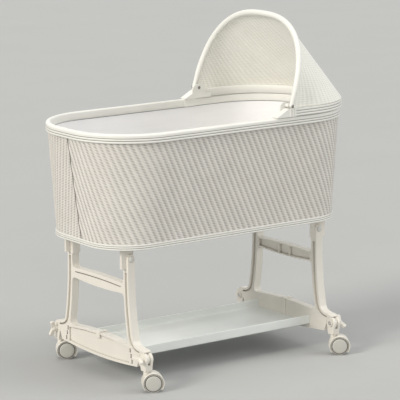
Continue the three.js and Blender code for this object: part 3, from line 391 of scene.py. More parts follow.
def woven(name, light, dark, holes=0.34, shadow=0.16, ridge=0.8, rough=0.62):
    """Woven vinyl: ribs along p1, a column of short dark gaps in each groove along p2, painted shadow along each
    groove, and fibre grain.
    """
    g = Graph(name)
    p1, p2 = g.attribute("p1"), g.attribute("p2")
    turn = g.math("MULTIPLY", p1, math.pi)
    groove = g.math("POWER", g.math("ABSOLUTE", g.math("SINE", turn)), 4.0)
    beat = g.math("COSINE", g.math("MULTIPLY", p2, 2 * math.pi))
    gap = g.math("MULTIPLY", groove, g.ranged(beat, -0.1, 0.9))
    bead = g.math("MULTIPLY", g.math("SUBTRACT", 1.0, groove), beat)
    share = g.math("SUBTRACT", 0.94, g.math("MULTIPLY", gap, holes))
    # Painted shadow: the colour is darkened along each groove, as shade between the ribs.
    share = g.math("SUBTRACT", share, g.math("MULTIPLY", groove, shadow))
    share = g.math("SUBTRACT", share, g.math("MULTIPLY", bead, 0.06))
    blotch = g.math("MULTIPLY", g.math("SUBTRACT", g.noise(24.0, 5.0), 0.5), 0.28)
    fibre = g.math("MULTIPLY", g.math("SUBTRACT", g.noise(420.0, 3.0), 0.5), 0.5)
    share = g.math("ADD", share, g.math("ADD", blotch, fibre), clamp=True)
    g.put(g.shader.inputs["Base Color"], g.mix(share, dark, light))
    g.put(g.shader.inputs["Roughness"], g.ranged(groove, 0.0, 1.0, rough - 0.05, rough + 0.15))
    fine = g.bump(g.noise(900.0, 3.0), 0.00015, 0.6)
    height = g.math("SUBTRACT", g.math("MULTIPLY", bead, -0.2), g.math("MULTIPLY", gap, 0.6))
    rib = g.math("MULTIPLY", g.math("COSINE", g.math("MULTIPLY", turn, 2.0)), ridge)
    g.put(g.shader.inputs["Normal"], g.bump(g.math("ADD", height, rib), 0.001, 1.0, fine))
    g.shader.inputs["Specular IOR Level"].default_value = 0.35
    return g.material


def board(name, colour):
    """Coated liner board: nearly smooth, with faint calender streaks and handling marks, and a painted shadow where
    the groove attribute is set.
    """
    g = Graph(name)
    streak = g.noise(6.0, 4.0, g.place((1, 1, 9)))
    tint = g.mix(g.ranged(streak, 0.35, 0.65), shade(colour, 0.975), shade(colour, 1.012))
    # Painted shadow: the groove attribute darkens the board, used for the band under the rim's lip.
    g.put(g.shader.inputs["Base Color"], g.mix(g.attribute("groove"), tint, shade(colour, 0.36)))
    g.put(g.shader.inputs["Roughness"], g.ranged(g.noise(30.0, 4.0), 0.3, 0.7, 0.42, 0.58))
    fine = g.bump(g.noise(700.0, 3.0), 0.00008, 0.5)
    g.put(g.shader.inputs["Normal"], g.bump(g.noise(14.0, 2.0), 0.0006, 0.4, fine))
    g.shader.inputs["Specular IOR Level"].default_value = 0.4
    return g.material


def cotton(name, colour):
    """Plain-woven cotton sheet: crossing threads, soft creases and a little fuzz."""
    g = Graph(name)
    place = g.place()
    split = g.node("ShaderNodeSeparateXYZ")
    g.put(split.inputs[0], place)
    threads = 2 * math.pi / 0.0011
    warp = g.math("SINE", g.math("MULTIPLY", split.outputs[0], threads))
    weft = g.math("SINE", g.math("MULTIPLY", split.outputs[1], threads))
    cross = g.math("MULTIPLY", warp, weft)
    slub = g.noise(220.0, 4.0, g.place((1, 6, 1)))
    share = g.math("ADD", g.math("MULTIPLY", cross, 0.18), g.math("MULTIPLY", slub, 0.8), clamp=True)
    g.put(g.shader.inputs["Base Color"], g.mix(share, shade(colour, 0.93), shade(colour, 1.03)))
    creases = g.bump(g.noise(9.0, 5.0), 0.003, 0.5)
    wander = g.math("MULTIPLY", g.noise(30.0, 2.0), 9.0)
    gather = g.math("SINE", g.math("ADD", g.math("MULTIPLY", g.attribute("arc"), 2 * math.pi / 13), wander))
    near = g.math("POWER", g.ranged(g.attribute("edge"), 0.0, 42.0, 1.0, 0.0), 2.0)
    creases = g.bump(g.math("MULTIPLY", gather, near), 0.0014, 0.9, creases)
    g.put(g.shader.inputs["Normal"], g.bump(g.math("ADD", cross, slub), 0.00025, 0.7, creases))
    g.put(g.shader.inputs["Roughness"], g.ranged(slub, 0.2, 0.8, 0.82, 0.95))
    g.shader.inputs["Sheen Weight"].default_value = 0.25
    return g.material


def metal(name, colour, rough):
    """Zinc plate: cloudy patches and fine turning marks."""
    g = Graph(name)
    cloud = g.noise(160.0, 5.0)
    g.put(g.shader.inputs["Base Color"], g.mix(cloud, shade(colour, 0.85), colour))
    g.put(g.shader.inputs["Roughness"], g.ranged(g.noise(500.0, 3.0), 0.3, 0.7, rough - 0.08, rough + 0.1))
    g.put(g.shader.inputs["Normal"], g.bump(g.noise(1800.0, 2.0), 0.00005, 0.5))
    g.shader.inputs["Metallic"].default_value = 1.0
    return g.material


ivory = plastic("ivory plastic", (0.865, 0.855, 0.805), 0.36)
cream = plastic("cream frame plastic", (0.81, 0.772, 0.70), 0.40, crease=0.006, crease_dark=0.5)
# Painted reflection: the faint green cast of this colour stands for reflected green surroundings; the shelf plastic
# itself is white.
gloss = plastic("glossy shelf plastic", (0.79, 0.815, 0.785), 0.36, crease_dark=0.8, peel=0.00001, coat=0.15, scuffs=0)
wheel_grey = plastic("wheel plastic", (0.55, 0.54, 0.495), 0.34, crease_dark=0.5)
tyre = plastic("tyre plastic", (0.60, 0.585, 0.535), 0.5, crease_dark=0.4)
basket_weave = woven("basket weave", (0.81, 0.775, 0.725), (0.30, 0.28, 0.25), holes=0.44, shadow=0.2, ridge=0.9)
hood_weave = woven("hood weave", (0.95, 0.94, 0.875), (0.68, 0.66, 0.585), holes=0.48, shadow=0.05, ridge=0.1)
liner = board("liner board", (0.95, 0.943, 0.945))
sheeting = cotton("pad cotton", (0.86, 0.855, 0.84))
zinc = metal("zinc plate", (0.62, 0.62, 0.63), 0.34)
dull_zinc = metal("dull zinc plate", (0.27, 0.26, 0.25), 0.48)
button_grey = plastic("button plastic", (0.66, 0.655, 0.61), 0.3, crease_dark=0.5)
# Painted shadow: near-black plastic for the strips that stand for the shade in the seam gaps.
seam_shadow_paint = plastic("seam painted shadow strip", (0.055, 0.048, 0.042), 0.85)


# ---- hard pieces that keep their CAD shape, with moulded edges

def bar_edge(a, b):
    """Whether an edge from a to b runs along the outer top edge of an end frame's crossbar or lower panel."""
    if min(abs(a.x), abs(b.x)) < FRAME_X + 10 or max(abs(a.y), abs(b.y)) > 112:
        return False
    low, high = min(a.z, b.z), max(a.z, b.z)
    return 258 < low and high < 264 or 104 < low and high < 114


for side in ("left", "right"):
    refined("end_frame_" + side, 0.9, cream, wide=bar_edge)
tray = refined("shelf_tray", 0.7, gloss)
tray.data.materials.append(cream)
for face in tray.data.polygons:
    if abs(face.center.x) > (FRAME_X - 14) * MM and face.center.z > 0.09:
        face.material_index = 1
for side in ("front", "rear"):
    refined("hood_clip_" + side, 0.5, ivory)
    refined("hood_rivet_" + side, 0.25, dull_zinc)
for corner in CORNERS:
    refined("leg_socket_" + corner, 0.7, cream)
    refined("caster_arm_" + corner, 0.7, cream)
    refined("wing_knob_" + corner, 0.8, cream)
    refined("caster_housing_" + corner, 0.6, cream)
    refined("clamp_nut_" + corner, 0.3, zinc)
    refined("caster_stem_" + corner, 0.3, zinc)
    refined("caster_axle_" + corner, 0.3, zinc)
floor_board = frame["nodes"]["basket_floor"]
floor_board.data.materials.clear()
floor_board.data.materials.append(liner)


# ---- release buttons and wheels, turned with finer rounds

def button_profile():
    face = LEG_TOP_Y + 4.5
    dome = []
    for k in range(9):
        turn = math.pi / 2 * k / 8
        dome.append((8 * math.cos(turn), LEG_TOP_Y + 0.6 + (face - LEG_TOP_Y - 0.6) * math.sin(turn)))
    return [
        (0, BUTTON_SEAT),
        (9.3, BUTTON_SEAT),
        (9.6, BUTTON_SEAT + 0.4),
        (9.6, BUTTON_SEAT + 2.3),
        (9.2, BUTTON_SEAT + 2.7),
        (8, BUTTON_SEAT + 2.7),
        *dome[:-1],
        (0, face),
    ]


def spring_mesh(name, sx, sy):
    """Return spring of one wire along Y, its end turns wound close, from the bore's end to the button's seat."""
    turns = np.linspace(0, 4, 113)
    along = np.interp(turns, (0, 1, 3, 4), (0, 1.45, SPRING_LENGTH - 2.85, SPRING_LENGTH - 1.4))
    rings = []
    for turn, y in zip(turns * 2 * math.pi, along):
        ring = []
        for around in np.linspace(0, 2 * math.pi, 10, False):
            radius = 6 + 0.7 * math.cos(around)
            out = SPRING_END + 0.7 + y + 0.7 * math.sin(around)
            ring.append((sx * FRAME_X + radius * math.cos(turn), sy * out, BUTTON_Z + radius * math.sin(turn)))
        rings.append(ring)
    return capped(name, rings, 60)


def wheel_profiles():
    """Tyre and pressed-in cap of a wheel, as (radius, along, groove) from the outer to the inner face; groove is
    painted shade, darkest where cap meets tyre.
    """
    edge = WHEEL_RADIUS * 0.835
    outer = WHEEL_OUTER
    cap = [
        (0, outer - 0.1, 0),
        (edge * 0.5, outer - 0.2, 0),
        (edge - 3.2, outer - 0.55, 0),
        (edge - 1.2, outer - 1.0, 0),
        (edge - 0.3, outer - 1.7, 0),
        (edge, outer - 2.6, 0.4),
        (edge, outer - 3.8, 1),
        (0, outer - 3.8, 1),
    ]
    rolled = []
    for k in range(7):
        turn = math.pi / 2 * k / 6
        rolled.append((WHEEL_RADIUS - 1.8 + 1.8 * math.sin(turn), outer - 3.8 + 1.8 * math.cos(turn), 0))
    tyre_ring = [
        (2.9, outer - 4.2, 1),
        (edge + 1.5, outer - 4.2, 1),
        (edge + 1.6, outer - 2.8, 0.8),
        *rolled,
        (WHEEL_RADIUS, WHEEL_INNER + 1.6, 0),
        (WHEEL_RADIUS - 0.5, WHEEL_INNER + 0.5, 0),
        (WHEEL_RADIUS - 1.6, WHEEL_INNER, 0),
        (2.9, WHEEL_INNER, 0),
        (2.9, outer - 4.2, 0),
    ]
    return cap, tyre_ring


def caster_place(corner, side):
    sx, sy = CORNERS[corner]
    foot = Matrix.Translation((sx * FRAME_X, sy * FOOT_Y, 0))
    turn = Matrix.Rotation(math.radians(SWIVEL[corner]), 4, "Z")
    over = Matrix.Rotation(0 if side > 0 else math.pi, 4, "Z")
    return foot @ turn @ Matrix.Translation((CASTER_TRAIL, 0, AXLE_Z)) @ over


for corner, (sx, sy) in CORNERS.items():
    place = Matrix.Translation((sx * FRAME_X, 0, BUTTON_Z))
    if sy < 0:
        place = place @ Matrix.Rotation(math.pi, 4, "Z")
    mesh = turned("release_button_" + corner, button_profile(), place)
    add("button_dome_" + corner, mesh, button_grey, "button_" + corner, ["release_button_" + corner])
    name = "return_spring_" + corner
    spring = add(name, spring_mesh(name, sx, sy), zinc, "bassinet", ["button_spring_" + corner])
    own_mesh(spring)
    for letter, side in (("a", 1), ("b", -1)):
        node = f"wheel_{letter}_{corner}"
        place = caster_place(corner, side)
        for part, section, material in zip(("cap", "tyre"), wheel_profiles(), (wheel_grey, tyre)):
            name = f"{node}_{part}"
            mesh = turned(name, [(radius, along) for radius, along, groove in section], place, 56)
            counts = [1 if radius < 1e-6 else 56 for radius, along, groove in section]
            mark_groove_shade(mesh, np.repeat([groove for radius, along, groove in section], counts))
            add(name, mesh, material, node, [node])


# ---- rims of the basket, board wall

def ridge_profile(low, high, count, depth, narrow=0.9):
    """Flat ridges up a face, as (inset, z, groove) with a narrow groove between each and the next; groove is the share
    of painted shade on that ring.
    """
    section = []
    pitch = (high - low) / count
    for i in range(count):
        middle = low + pitch * (i + 0.5)
        half = pitch / 2
        for offset, inset, groove in (
            (-half, depth, 1),
            (-half + narrow * 0.5, depth * 0.75, 0.8),
            (-half + narrow * 0.8, 0.5, 0.15),
            (-half + narrow * 1.5, 0.08, 0),
            (0, 0, 0),
            (half - narrow * 1.5, 0.08, 0),
            (half - narrow * 0.8, 0.5, 0.15),
            (half - narrow * 0.5, depth * 0.75, 0.8),
        ):
            section.append((inset, middle + offset, groove))
    section.append((depth, high, 1))
    return section


def bead(low, high, inner):
    """Rolled top edge from its outer foot to its inner foot, as (inset, z, groove), groove being the share of painted
    shade on that ring.
    """
    section = [(1.2, low + 0.35, 0.8), (0.4, low + 0.9, 0)]
    for k in range(9):
        turn = math.pi / 2 * k / 8
        section.append((5.2 - 5.2 * math.cos(turn), high - 5.6 + 5.6 * math.sin(turn), 0))
    for k in range(1, 8):
        turn = math.pi / 2 * k / 7
        section.append((inner - 3.6 + 3.6 * math.sin(turn), high - 3.6 + 3.6 * math.cos(turn), 0))
    return section


def add_band(name, section, inside, outline, node):
    """Ridged channel: a visible section of (inset, z, groove) on an outline, closed by plain inside rings."""
    rings = [outline(inset, z) for inset, z, groove in section]
    mesh = ring_band(name, rings + inside)
    mark_groove_shade(mesh, [groove for inset, z, groove in section], len(rings[0]))
    return add(name, mesh, ivory, "bassinet", [node])


rim_low = RIM_TOP - 23.5
rim_section = ridge_profile(rim_low, RIM_TOP - 11, 2, 2.6) + bead(RIM_TOP - 11, RIM_TOP, RIM_INNER_FACE)
add_band("top_rim_rolled", rim_section, [
    rim_ring(RIM_INNER_FACE, RIM_TOP - 12),
    rim_ring(RIM_INNER_FACE, RIM_TOP - 19.2),
    rim_ring(RIM_INNER_FACE - 0.5, RIM_TOP - 20),
    side_ring(WALL_INNER + 0.3, RIM_TOP - 20),
    side_ring(WALL_INNER + 0.3, WALL_TOP + 0.3),
    side_ring(-0.3, WALL_TOP + 0.3),
    side_ring(-0.3, rim_low),
], rim_ring, "top_rim")
add_band("base_trim_ridged", ridge_profile(BASE_BOTTOM, BASE_BOTTOM + 15, 3, 2.4), [
    side_ring(-0.3, BASE_BOTTOM + 15),
    side_ring(-0.3, BASE_BOTTOM + 3.5),
    trim_ring(17, BASE_BOTTOM + 3.5),
    trim_ring(17, BASE_BOTTOM),
], trim_ring, "base_trim")

lip = RIM_TOP - 20
wall_section = [(WALL_INSET, WALL_BOTTOM, 0), (WALL_INSET, 500, 0), (WALL_INSET, WALL_TOP, 0)]
# Painted shadow: a dark band on the liner from just above to just under the rim's lip, where the lip shades it.
wall_section += [(WALL_INNER, WALL_TOP, 0), (WALL_INNER, lip + 0.6, 1), (WALL_INNER, lip - 1.9, 1)]
wall_section += [(WALL_INNER, z, 0) for z in (lip - 2.7, 560, 490, 420, WALL_BOTTOM)]
wall_mesh = ring_band("liner_wall", [side_ring(inset, z) for inset, z, groove in wall_section])
mark_groove_shade(wall_mesh, [groove for inset, z, groove in wall_section], len(side_ring(0, lip)))
add("liner_wall", wall_mesh, liner, "bassinet", ["basket_wall"])


# ---- woven cover in two halves, sewn together at the middle of each end

def half_stations(start_low, start_high, low_z, high_z, pitch=2.3):
    """Straight lines up the side, from the foot end round the front to the middle of the head end."""
    low, high = side_sizes(0, low_z), side_sizes(0, high_z)

    def corner_point(size, sx, turn):
        length, width, corner = size
        return (sx * (length - corner) + corner * math.cos(turn), -(width - corner) + corner * math.sin(turn))

    lines = []

    def stretch(count, at):
        for k in range(count):
            u = k / count
            lines.append((at(low, u, start_low), at(high, u, start_high)))

    stretch(14, lambda s, u, start: (-s[0], start + (-(s[1] - s[2]) - start) * u))
    stretch(round(225 / pitch), lambda s, u, start: corner_point(s, -1, math.pi + u * math.pi / 2))
    stretch(round(483 / pitch), lambda s, u, start: (-(s[0] - s[2]) * (1 - 2 * u), -s[1]))
    stretch(round(225 / pitch), lambda s, u, start: corner_point(s, 1, -math.pi / 2 + u * math.pi / 2))
    stretch(20, lambda s, u, start: (s[0], -(s[1] - s[2]) * (1 - u) - 0.8 * u))
    lines.append(((low[0], -0.8), (high[0], -0.8)))
    bottom = np.array([(*a, low_z) for a, b in lines])
    top = np.array([(*b, high_z) for a, b in lines])
    return bottom, top


def apart(p, a, b, to_a, to_b):
    """The point right of the line from a to b at the given distances from a and b."""
    along = (b - a) / np.linalg.norm(b - a)
    span = np.linalg.norm(b - a)
    up = (to_a ** 2 - to_b ** 2 + span ** 2) / (2 * span)
    out = math.sqrt(max(to_a ** 2 - up ** 2, 0))
    return a + along * up + np.array([along[1], -along[0]]) * out


def unrolled(bottom, top):
    """The same lines laid flat, as the sheet was before it was wrapped."""
    def gap(p, q):
        return float(np.linalg.norm(p - q))

    low = [np.zeros(2)]
    high = [np.array([0.0, gap(bottom[0], top[0])])]
    for i in range(1, len(bottom)):
        b = apart(None, low[-1], high[-1], gap(bottom[i], bottom[i - 1]), gap(bottom[i], top[i - 1]))
        t = apart(None, b, high[-1], gap(top[i], bottom[i]), gap(top[i], top[i - 1]))
        low.append(b)
        high.append(t)
    return np.array(low), np.array(high)


def weave_attributes(mesh, p1, p2):
    for name, values in (("p1", p1), ("p2", p2)):
        attribute = mesh.attributes.new(name, "FLOAT", "POINT")
        attribute.data.foreach_set("value", np.asarray(values, np.float32).ravel())


def grid_normals(points):
    across = np.gradient(points, axis=0)
    up = np.gradient(points, axis=1)
    normal = np.cross(across, up)
    return normal / np.linalg.norm(normal, axis=2, keepdims=True)


def half_cover(name, mirror, start_low, start_high, rib, strand):
    bottom, top = half_stations(start_low, start_high, WALL_BOTTOM, WALL_TOP)
    low, high = unrolled(bottom, top)
    straight = np.flatnonzero(np.isclose(bottom[:, 1], bottom[:, 1].min()))
    level = low[straight[-1]] - low[straight[0]]
    tilt = math.atan2(level[1], level[0])
    turn = np.array([[math.cos(tilt), math.sin(tilt)], [-math.sin(tilt), math.cos(tilt)]])
    low, high = low @ turn.T, high @ turn.T
    rows = np.linspace(0, 1, 73)[None, :, None]
    points = bottom[:, None] * (1 - rows) + top[:, None] * rows
    flat = low[:, None] * (1 - rows) + high[:, None] * rows
    p1, p2 = flat @ np.array(rib), flat @ np.array(strand)
    relief = 0.66 * (np.cos(2 * math.pi * p1) - 1)
    normal = grid_normals(points)
    outward = np.sign((normal[..., :2] * points[..., :2]).sum(axis=2).mean())
    points = points + normal * outward * (relief - 0.1)[..., None]
    if mirror:
        points = points * np.array([1, -1, 1])
    mesh = make_mesh(name, points.reshape(-1, 3), grid_faces(*points.shape[:2]), 80)
    weave_attributes(mesh, p1, p2)
    sheet = add(name, mesh, basket_weave, "bassinet", ["woven_cover"])
    return sheet


SEAM_LOW, SEAM_HIGH = -20.6, -6.7
half_cover("woven_half_front", False, SEAM_LOW - 1.5, SEAM_HIGH - 1.5, (0.0601, 0.0312), (0.0439, 0.1627))
half_cover("woven_half_rear", True, -SEAM_LOW - 1.3, -SEAM_HIGH - 1.3, (0.0696, 0.0253), (0.0439, 0.1627))


def seam_shadow_strip(name, ends):
    """Painted shadow: a dark strip behind the butted edges of the two halves, standing for the shade in the gap
    between them, from its lower to its upper end.
    """
    points = []
    for k in range(9):
        u = k / 8
        z = WALL_BOTTOM + (WALL_TOP - WALL_BOTTOM) * u
        x = side_sizes(1.75, z)[0]
        y = ends[0] + (ends[1] - ends[0]) * u
        for step in (-3, -1.5, 0, 1.5, 3):
            points.append((ends[2] * (x + 0.2 * (1 - abs(step) / 3)), y + step, z))
    return add(name, make_mesh(name, points, grid_faces(9, 5)), seam_shadow_paint, "bassinet", ["woven_cover"])


# Painted shadow strips in the seam gaps at the foot and head ends.
seam_shadow_strip("seam_shadow_strip_foot", (SEAM_LOW, SEAM_HIGH, -1))
seam_shadow_strip("seam_shadow_strip_head", (0, 0, 1))


# ---- mattress pad: a stuffed pad in a cotton cover, with piping round both edges

def pad_ring(inset, z, steps=26):
    length, width, corner = side_sizes(WALL_INNER + 7 + inset, PAD_BOTTOM)
    return rounded_ring(2 * length, 2 * width, corner, z, steps)


def pad_start():
    low, high = PAD_BOTTOM + 0.4, PAD_BOTTOM + PAD_THICK - 9
    rings = [pad_ring(inset, z) for inset, z in (
        (60, low), (14, low), (6.5, low + 0.8), (4.4, low + 4), (4.2, (low + high) / 2), (4.4, high - 4),
        (6.5, high - 0.8), (14, high), (60, high),
    )]
    return capped("mattress_pad_cover", rings, 60)


def mesh_points(mesh):
    points = np.empty(len(mesh.vertices) * 3)
    mesh.vertices.foreach_get("co", points)
    return points.reshape(-1, 3)


def outline_places(points):
    """How far each point lies from the pad's outline, and how far round it, in millimetres."""
    points = points[:, :2] / MM
    outline = np.array(pad_ring(0, 0, 60))[:, :2]
    steps = np.linalg.norm(np.roll(outline, -1, axis=0) - outline, axis=1)
    dense, round_at, gone = [], [], 0.0
    for start, end, step in zip(outline, np.roll(outline, -1, axis=0), steps):
        for u in np.linspace(0, 1, max(1, int(step / 3)), False):
            dense.append(start + (end - start) * u)
            round_at.append(gone + step * u)
        gone += step
    dense, round_at = np.array(dense), np.array(round_at)
    edge, arc = np.empty(len(points)), np.empty(len(points))
    for i in range(0, len(points), 2000):
        far = np.linalg.norm(points[i:i + 2000, None] - dense[None], axis=2)
        edge[i:i + 2000] = far.min(axis=1)
        arc[i:i + 2000] = round_at[far.argmin(axis=1)]
    return edge, arc


def swell(piece):
    """Blows the pad up as cloth under pressure, held near its start at the sewn edges, and applies it."""
    scene = bpy.context.scene
    bpy.context.view_layer.objects.active = piece
    piece.select_set(True)
    cloth = piece.modifiers.new("stuffing", "CLOTH")
    cloth.settings.use_pressure = True
    cloth.settings.uniform_pressure_force = 4.0
    cloth.settings.effector_weights.gravity = 0.0
    cloth.settings.quality = 5
    cloth.collision_settings.use_collision = False
    cloth.point_cache.frame_start = 1
    cloth.point_cache.frame_end = 20
    rest = mesh_points(piece.data)
    for step in range(1, 21):
        scene.frame_set(step)
    blown = piece.evaluated_get(bpy.context.evaluated_depsgraph_get()).to_mesh()
    moved = mesh_points(blown) - rest
    piece.modifiers.remove(cloth)
    scene.frame_set(1)
    length = np.linalg.norm(moved, axis=1, keepdims=True)
    edge, arc = outline_places(rest)
    cap = (2.2 + 6.6 * (1 - np.exp(-edge / 38))) * MM
    moved *= np.minimum(1, cap[:, None] / np.maximum(length, 1e-9))
    settled = rest + moved
    pucker = np.sin(2 * math.pi * arc / 23 + 2.4 * np.sin(2 * math.pi * arc / 171))
    top = rest[:, 2] > (PAD_BOTTOM + PAD_THICK / 2) * MM
    settled[:, 2] += 0.9 * MM * pucker * np.exp(-((edge - 15) / 11) ** 2) * top
    settled[:, 2] = np.clip(settled[:, 2], PAD_BOTTOM * MM, (PAD_BOTTOM + PAD_THICK) * MM)
    piece.data.vertices.foreach_set("co", settled.ravel())
    piece.data.update()
    piece.select_set(False)


def piping(name, ring, radius, sides=8):
    """Round cord sewn along a closed ring of points."""
    ring = np.array(ring)
    after, before = np.roll(ring, -1, axis=0), np.roll(ring, 1, axis=0)
    keep = np.linalg.norm(after - ring, axis=1) > 1e-6
    ring = ring[keep]
    tangent = np.roll(ring, -1, axis=0) - np.roll(ring, 1, axis=0)
    tangent /= np.linalg.norm(tangent, axis=1, keepdims=True)
    out = np.cross(tangent, (0, 0, 1))
    points = []
    for k in range(sides):
        turn = 2 * math.pi * k / sides
        points.append(ring + radius * (math.cos(turn) * out + math.sin(turn) * np.array([0, 0, 1.0])))
    return ring_band(name, points, 80)


pad = add("mattress_pad_cover", pad_start(), sheeting, "bassinet", ["mattress_pad"])
pad.data.remesh_voxel_size = 0.006
bpy.context.view_layer.objects.active = pad
bpy.ops.object.voxel_remesh()
swell(pad)
pad.data.shade_smooth()
for name, values in zip(("edge", "arc"), outline_places(mesh_points(pad.data))):
    pad.data.attributes.new(name, "FLOAT", "POINT").data.foreach_set("value", values.astype(np.float32))
smoothing = pad.modifiers.new("one subdivision", "SUBSURF")
smoothing.levels = smoothing.render_levels = 1
for name, inset, z in (("pad_piping_low", 3.4, PAD_BOTTOM + 3.2), ("pad_piping_high", 3.4, PAD_BOTTOM + PAD_THICK - 10.5)):
    add(name, piping(name, pad_ring(inset, z), 1.9), sheeting, "bassinet", ["mattress_pad"])


# ---- hood: rail on the rim, bow, and the woven canopy between them

def head_path(start, inset, steps=36, straight=6):
    """Points round the head end from the front side to the rear side, with their outward angle."""
    corner = RIM_CORNER - inset
    mid_x, mid_y = RIM_LENGTH / 2 - RIM_CORNER, RIM_WIDTH / 2 - RIM_CORNER
    half = []
    for k in range(straight):
        half.append((start + (mid_x - start) * k / straight, mid_y + corner, math.pi / 2))
    for k in range(steps + 1):
        turn = math.pi / 2 * (1 - k / steps)
        half.append((mid_x + corner * math.cos(turn), mid_y + corner * math.sin(turn), turn))
    near = [(x, -y, -turn) for x, y, turn in half]
    return near + half[::-1]


# The rail's groove values paint shade into its grooves and along its inner foot.
rail_section = ridge_profile(RAIL_BOTTOM, RAIL_TOP - 0.4, 3, 2.6, 0.8)
rail_section += [(1.2, RAIL_TOP - 0.1, 0), (2.6, RAIL_TOP, 0)]
rail_section += [(RAIL_DEPTH - 1.6, RAIL_TOP, 0), (RAIL_DEPTH - 0.5, RAIL_TOP - 0.5, 0)]
rail_section += [(RAIL_DEPTH, RAIL_TOP - 1.6, 0), (RAIL_DEPTH, RAIL_BOTTOM + 0.8, 0.3), (RAIL_DEPTH - 0.8, RAIL_BOTTOM, 1)]
rail_rings = []
for x, y, turn in head_path(RAIL_START, -RAIL_PROUD):
    rail_rings.append([(x - i * math.cos(turn), y - i * math.sin(turn), z) for i, z, groove in rail_section])
rail_mesh = capped("hood_rail_ridged", rail_rings)
mark_groove_shade(rail_mesh, [groove for i, z, groove in rail_section] * len(rail_rings))
add("hood_rail_ridged", rail_mesh, ivory, "bassinet", ["hood_rail"])


def bow_point(share):
    turn = math.pi * (1 - share)
    power = 2 / BOW_POWER
    y = HINGE_Y * math.copysign(abs(math.cos(turn)) ** power, math.cos(turn))
    rise = BOW_HEIGHT * abs(math.sin(turn)) ** power
    return np.array([BOW_FOOT_X + BOW_LEAN * rise, y, HINGE_Z + rise])


def tube(name, path, radius, sides=20):
    """Round tube along an open path, with domed ends."""
    path = np.array(path)
    tangent = np.gradient(path, axis=0)
    tangent /= np.linalg.norm(tangent, axis=1, keepdims=True)
    lean = np.array([-BOW_LEAN, 0, 1.0])
    side = np.cross(tangent, np.cross(lean, (0, 1.0, 0)))
    side /= np.linalg.norm(side, axis=1, keepdims=True)
    up = np.cross(side, tangent)
    rings = []
    gone = np.r_[0, np.cumsum(np.linalg.norm(np.diff(path, axis=0), axis=1))]
    near_end = np.minimum(gone, gone[-1] - gone)
    hemmed = radius + 1.3 * np.clip((near_end - 16) / 24, 0, 1)
    for p, s, u, r in zip(path, side, up, hemmed):
        rings.append([p + r * (math.cos(a) * s + math.sin(a) * u) for a in np.linspace(0, 2 * math.pi, sides, False)])
    ends = []
    for first, direction in ((0, -1), (-1, 1)):
        dome = []
        for shrink, reach in ((0.92, 0.25), (0.7, 0.5), (0.35, 0.68)):
            centre = path[first] + direction * tangent[first] * radius * reach
            dome.append([centre + (np.array(q) - path[first]) * shrink for q in rings[first]])
        ends.append(dome)
    return capped(name, ends[0][::-1] + rings + ends[1], 60)


bow_shares = 0.5 - 0.5 * np.cos(np.linspace(0, math.pi, 121))
bow_mesh = tube("hood_bow_tube", [bow_point(s) for s in bow_shares], BOW_RADIUS)
add("hood_bow_tube", bow_mesh, ivory, "hood_bow", ["hood_bow"])

CANOPY_RIBS = 50
COLUMNS, ROWS, GUSSET = CANOPY_RIBS * 8, 40, 14


def rail_places(depth):
    """A line along the rail's top, depth in from its outer face: the point at each share of its length."""
    path = np.array([(x, y) for x, y, turn in head_path(RAIL_START + 4, depth - RAIL_PROUD)])
    length = np.r_[0, np.cumsum(np.linalg.norm(np.diff(path, axis=0), axis=1))]

    def place(share):
        at = share * length[-1]
        return np.array([np.interp(at, length, path[:, 0]), np.interp(at, length, path[:, 1]), RAIL_TOP + 0.5])

    return place


def canopy_rulings():
    """Foot and head of each straight line of the canopy, from the front clip round to the rear clip."""
    middle = rail_places(RAIL_DEPTH / 2)
    outer = rail_places(2.4)
    feet, heads = [], []
    for i in range(-GUSSET, COLUMNS + GUSSET + 1):
        share = min(max(i / COLUMNS, 0), 1)
        over = max(-i, i - COLUMNS, 0) / GUSSET
        out = np.clip((min(share, 1 - share) - 0.03) / 0.12, 0, 1)
        out = out * out * (3 - 2 * out)
        foot = middle(share) * (1 - out) + outer(share) * out
        rear = 1 if share > 0.5 else -1
        foot = foot + (np.array([BOW_FOOT_X + 5, rear * 203.5, 684.0]) - foot) * over
        first = 0.045 - 0.0365 * over
        place = first + (1 - 2 * first) * share
        head = bow_point(place)
        tangent = bow_point(place + 0.005) - bow_point(place - 0.005)
        tangent /= np.linalg.norm(tangent)
        back = foot - head
        back -= tangent * (back @ tangent)
        feet.append(foot)
        heads.append(head + back / np.linalg.norm(back) * (BOW_RADIUS - 0.2))
    return np.array(feet), np.array(heads)


def gore_cuts(feet):
    """Columns where one gore of the canopy ends and the next begins."""
    last = COLUMNS + 2 * GUSSET
    cuts = [0, GUSSET // 2, GUSSET]
    for i in range(GUSSET + 6, COLUMNS + GUSSET - 5):
        wide = i - cuts[-1]
        if wide >= 20 or wide >= 6 and abs(feet[i, 0] - feet[cuts[-1], 0]) > 11:
            cuts.append(i)
    return cuts + [COLUMNS + GUSSET, last - GUSSET // 2, last]


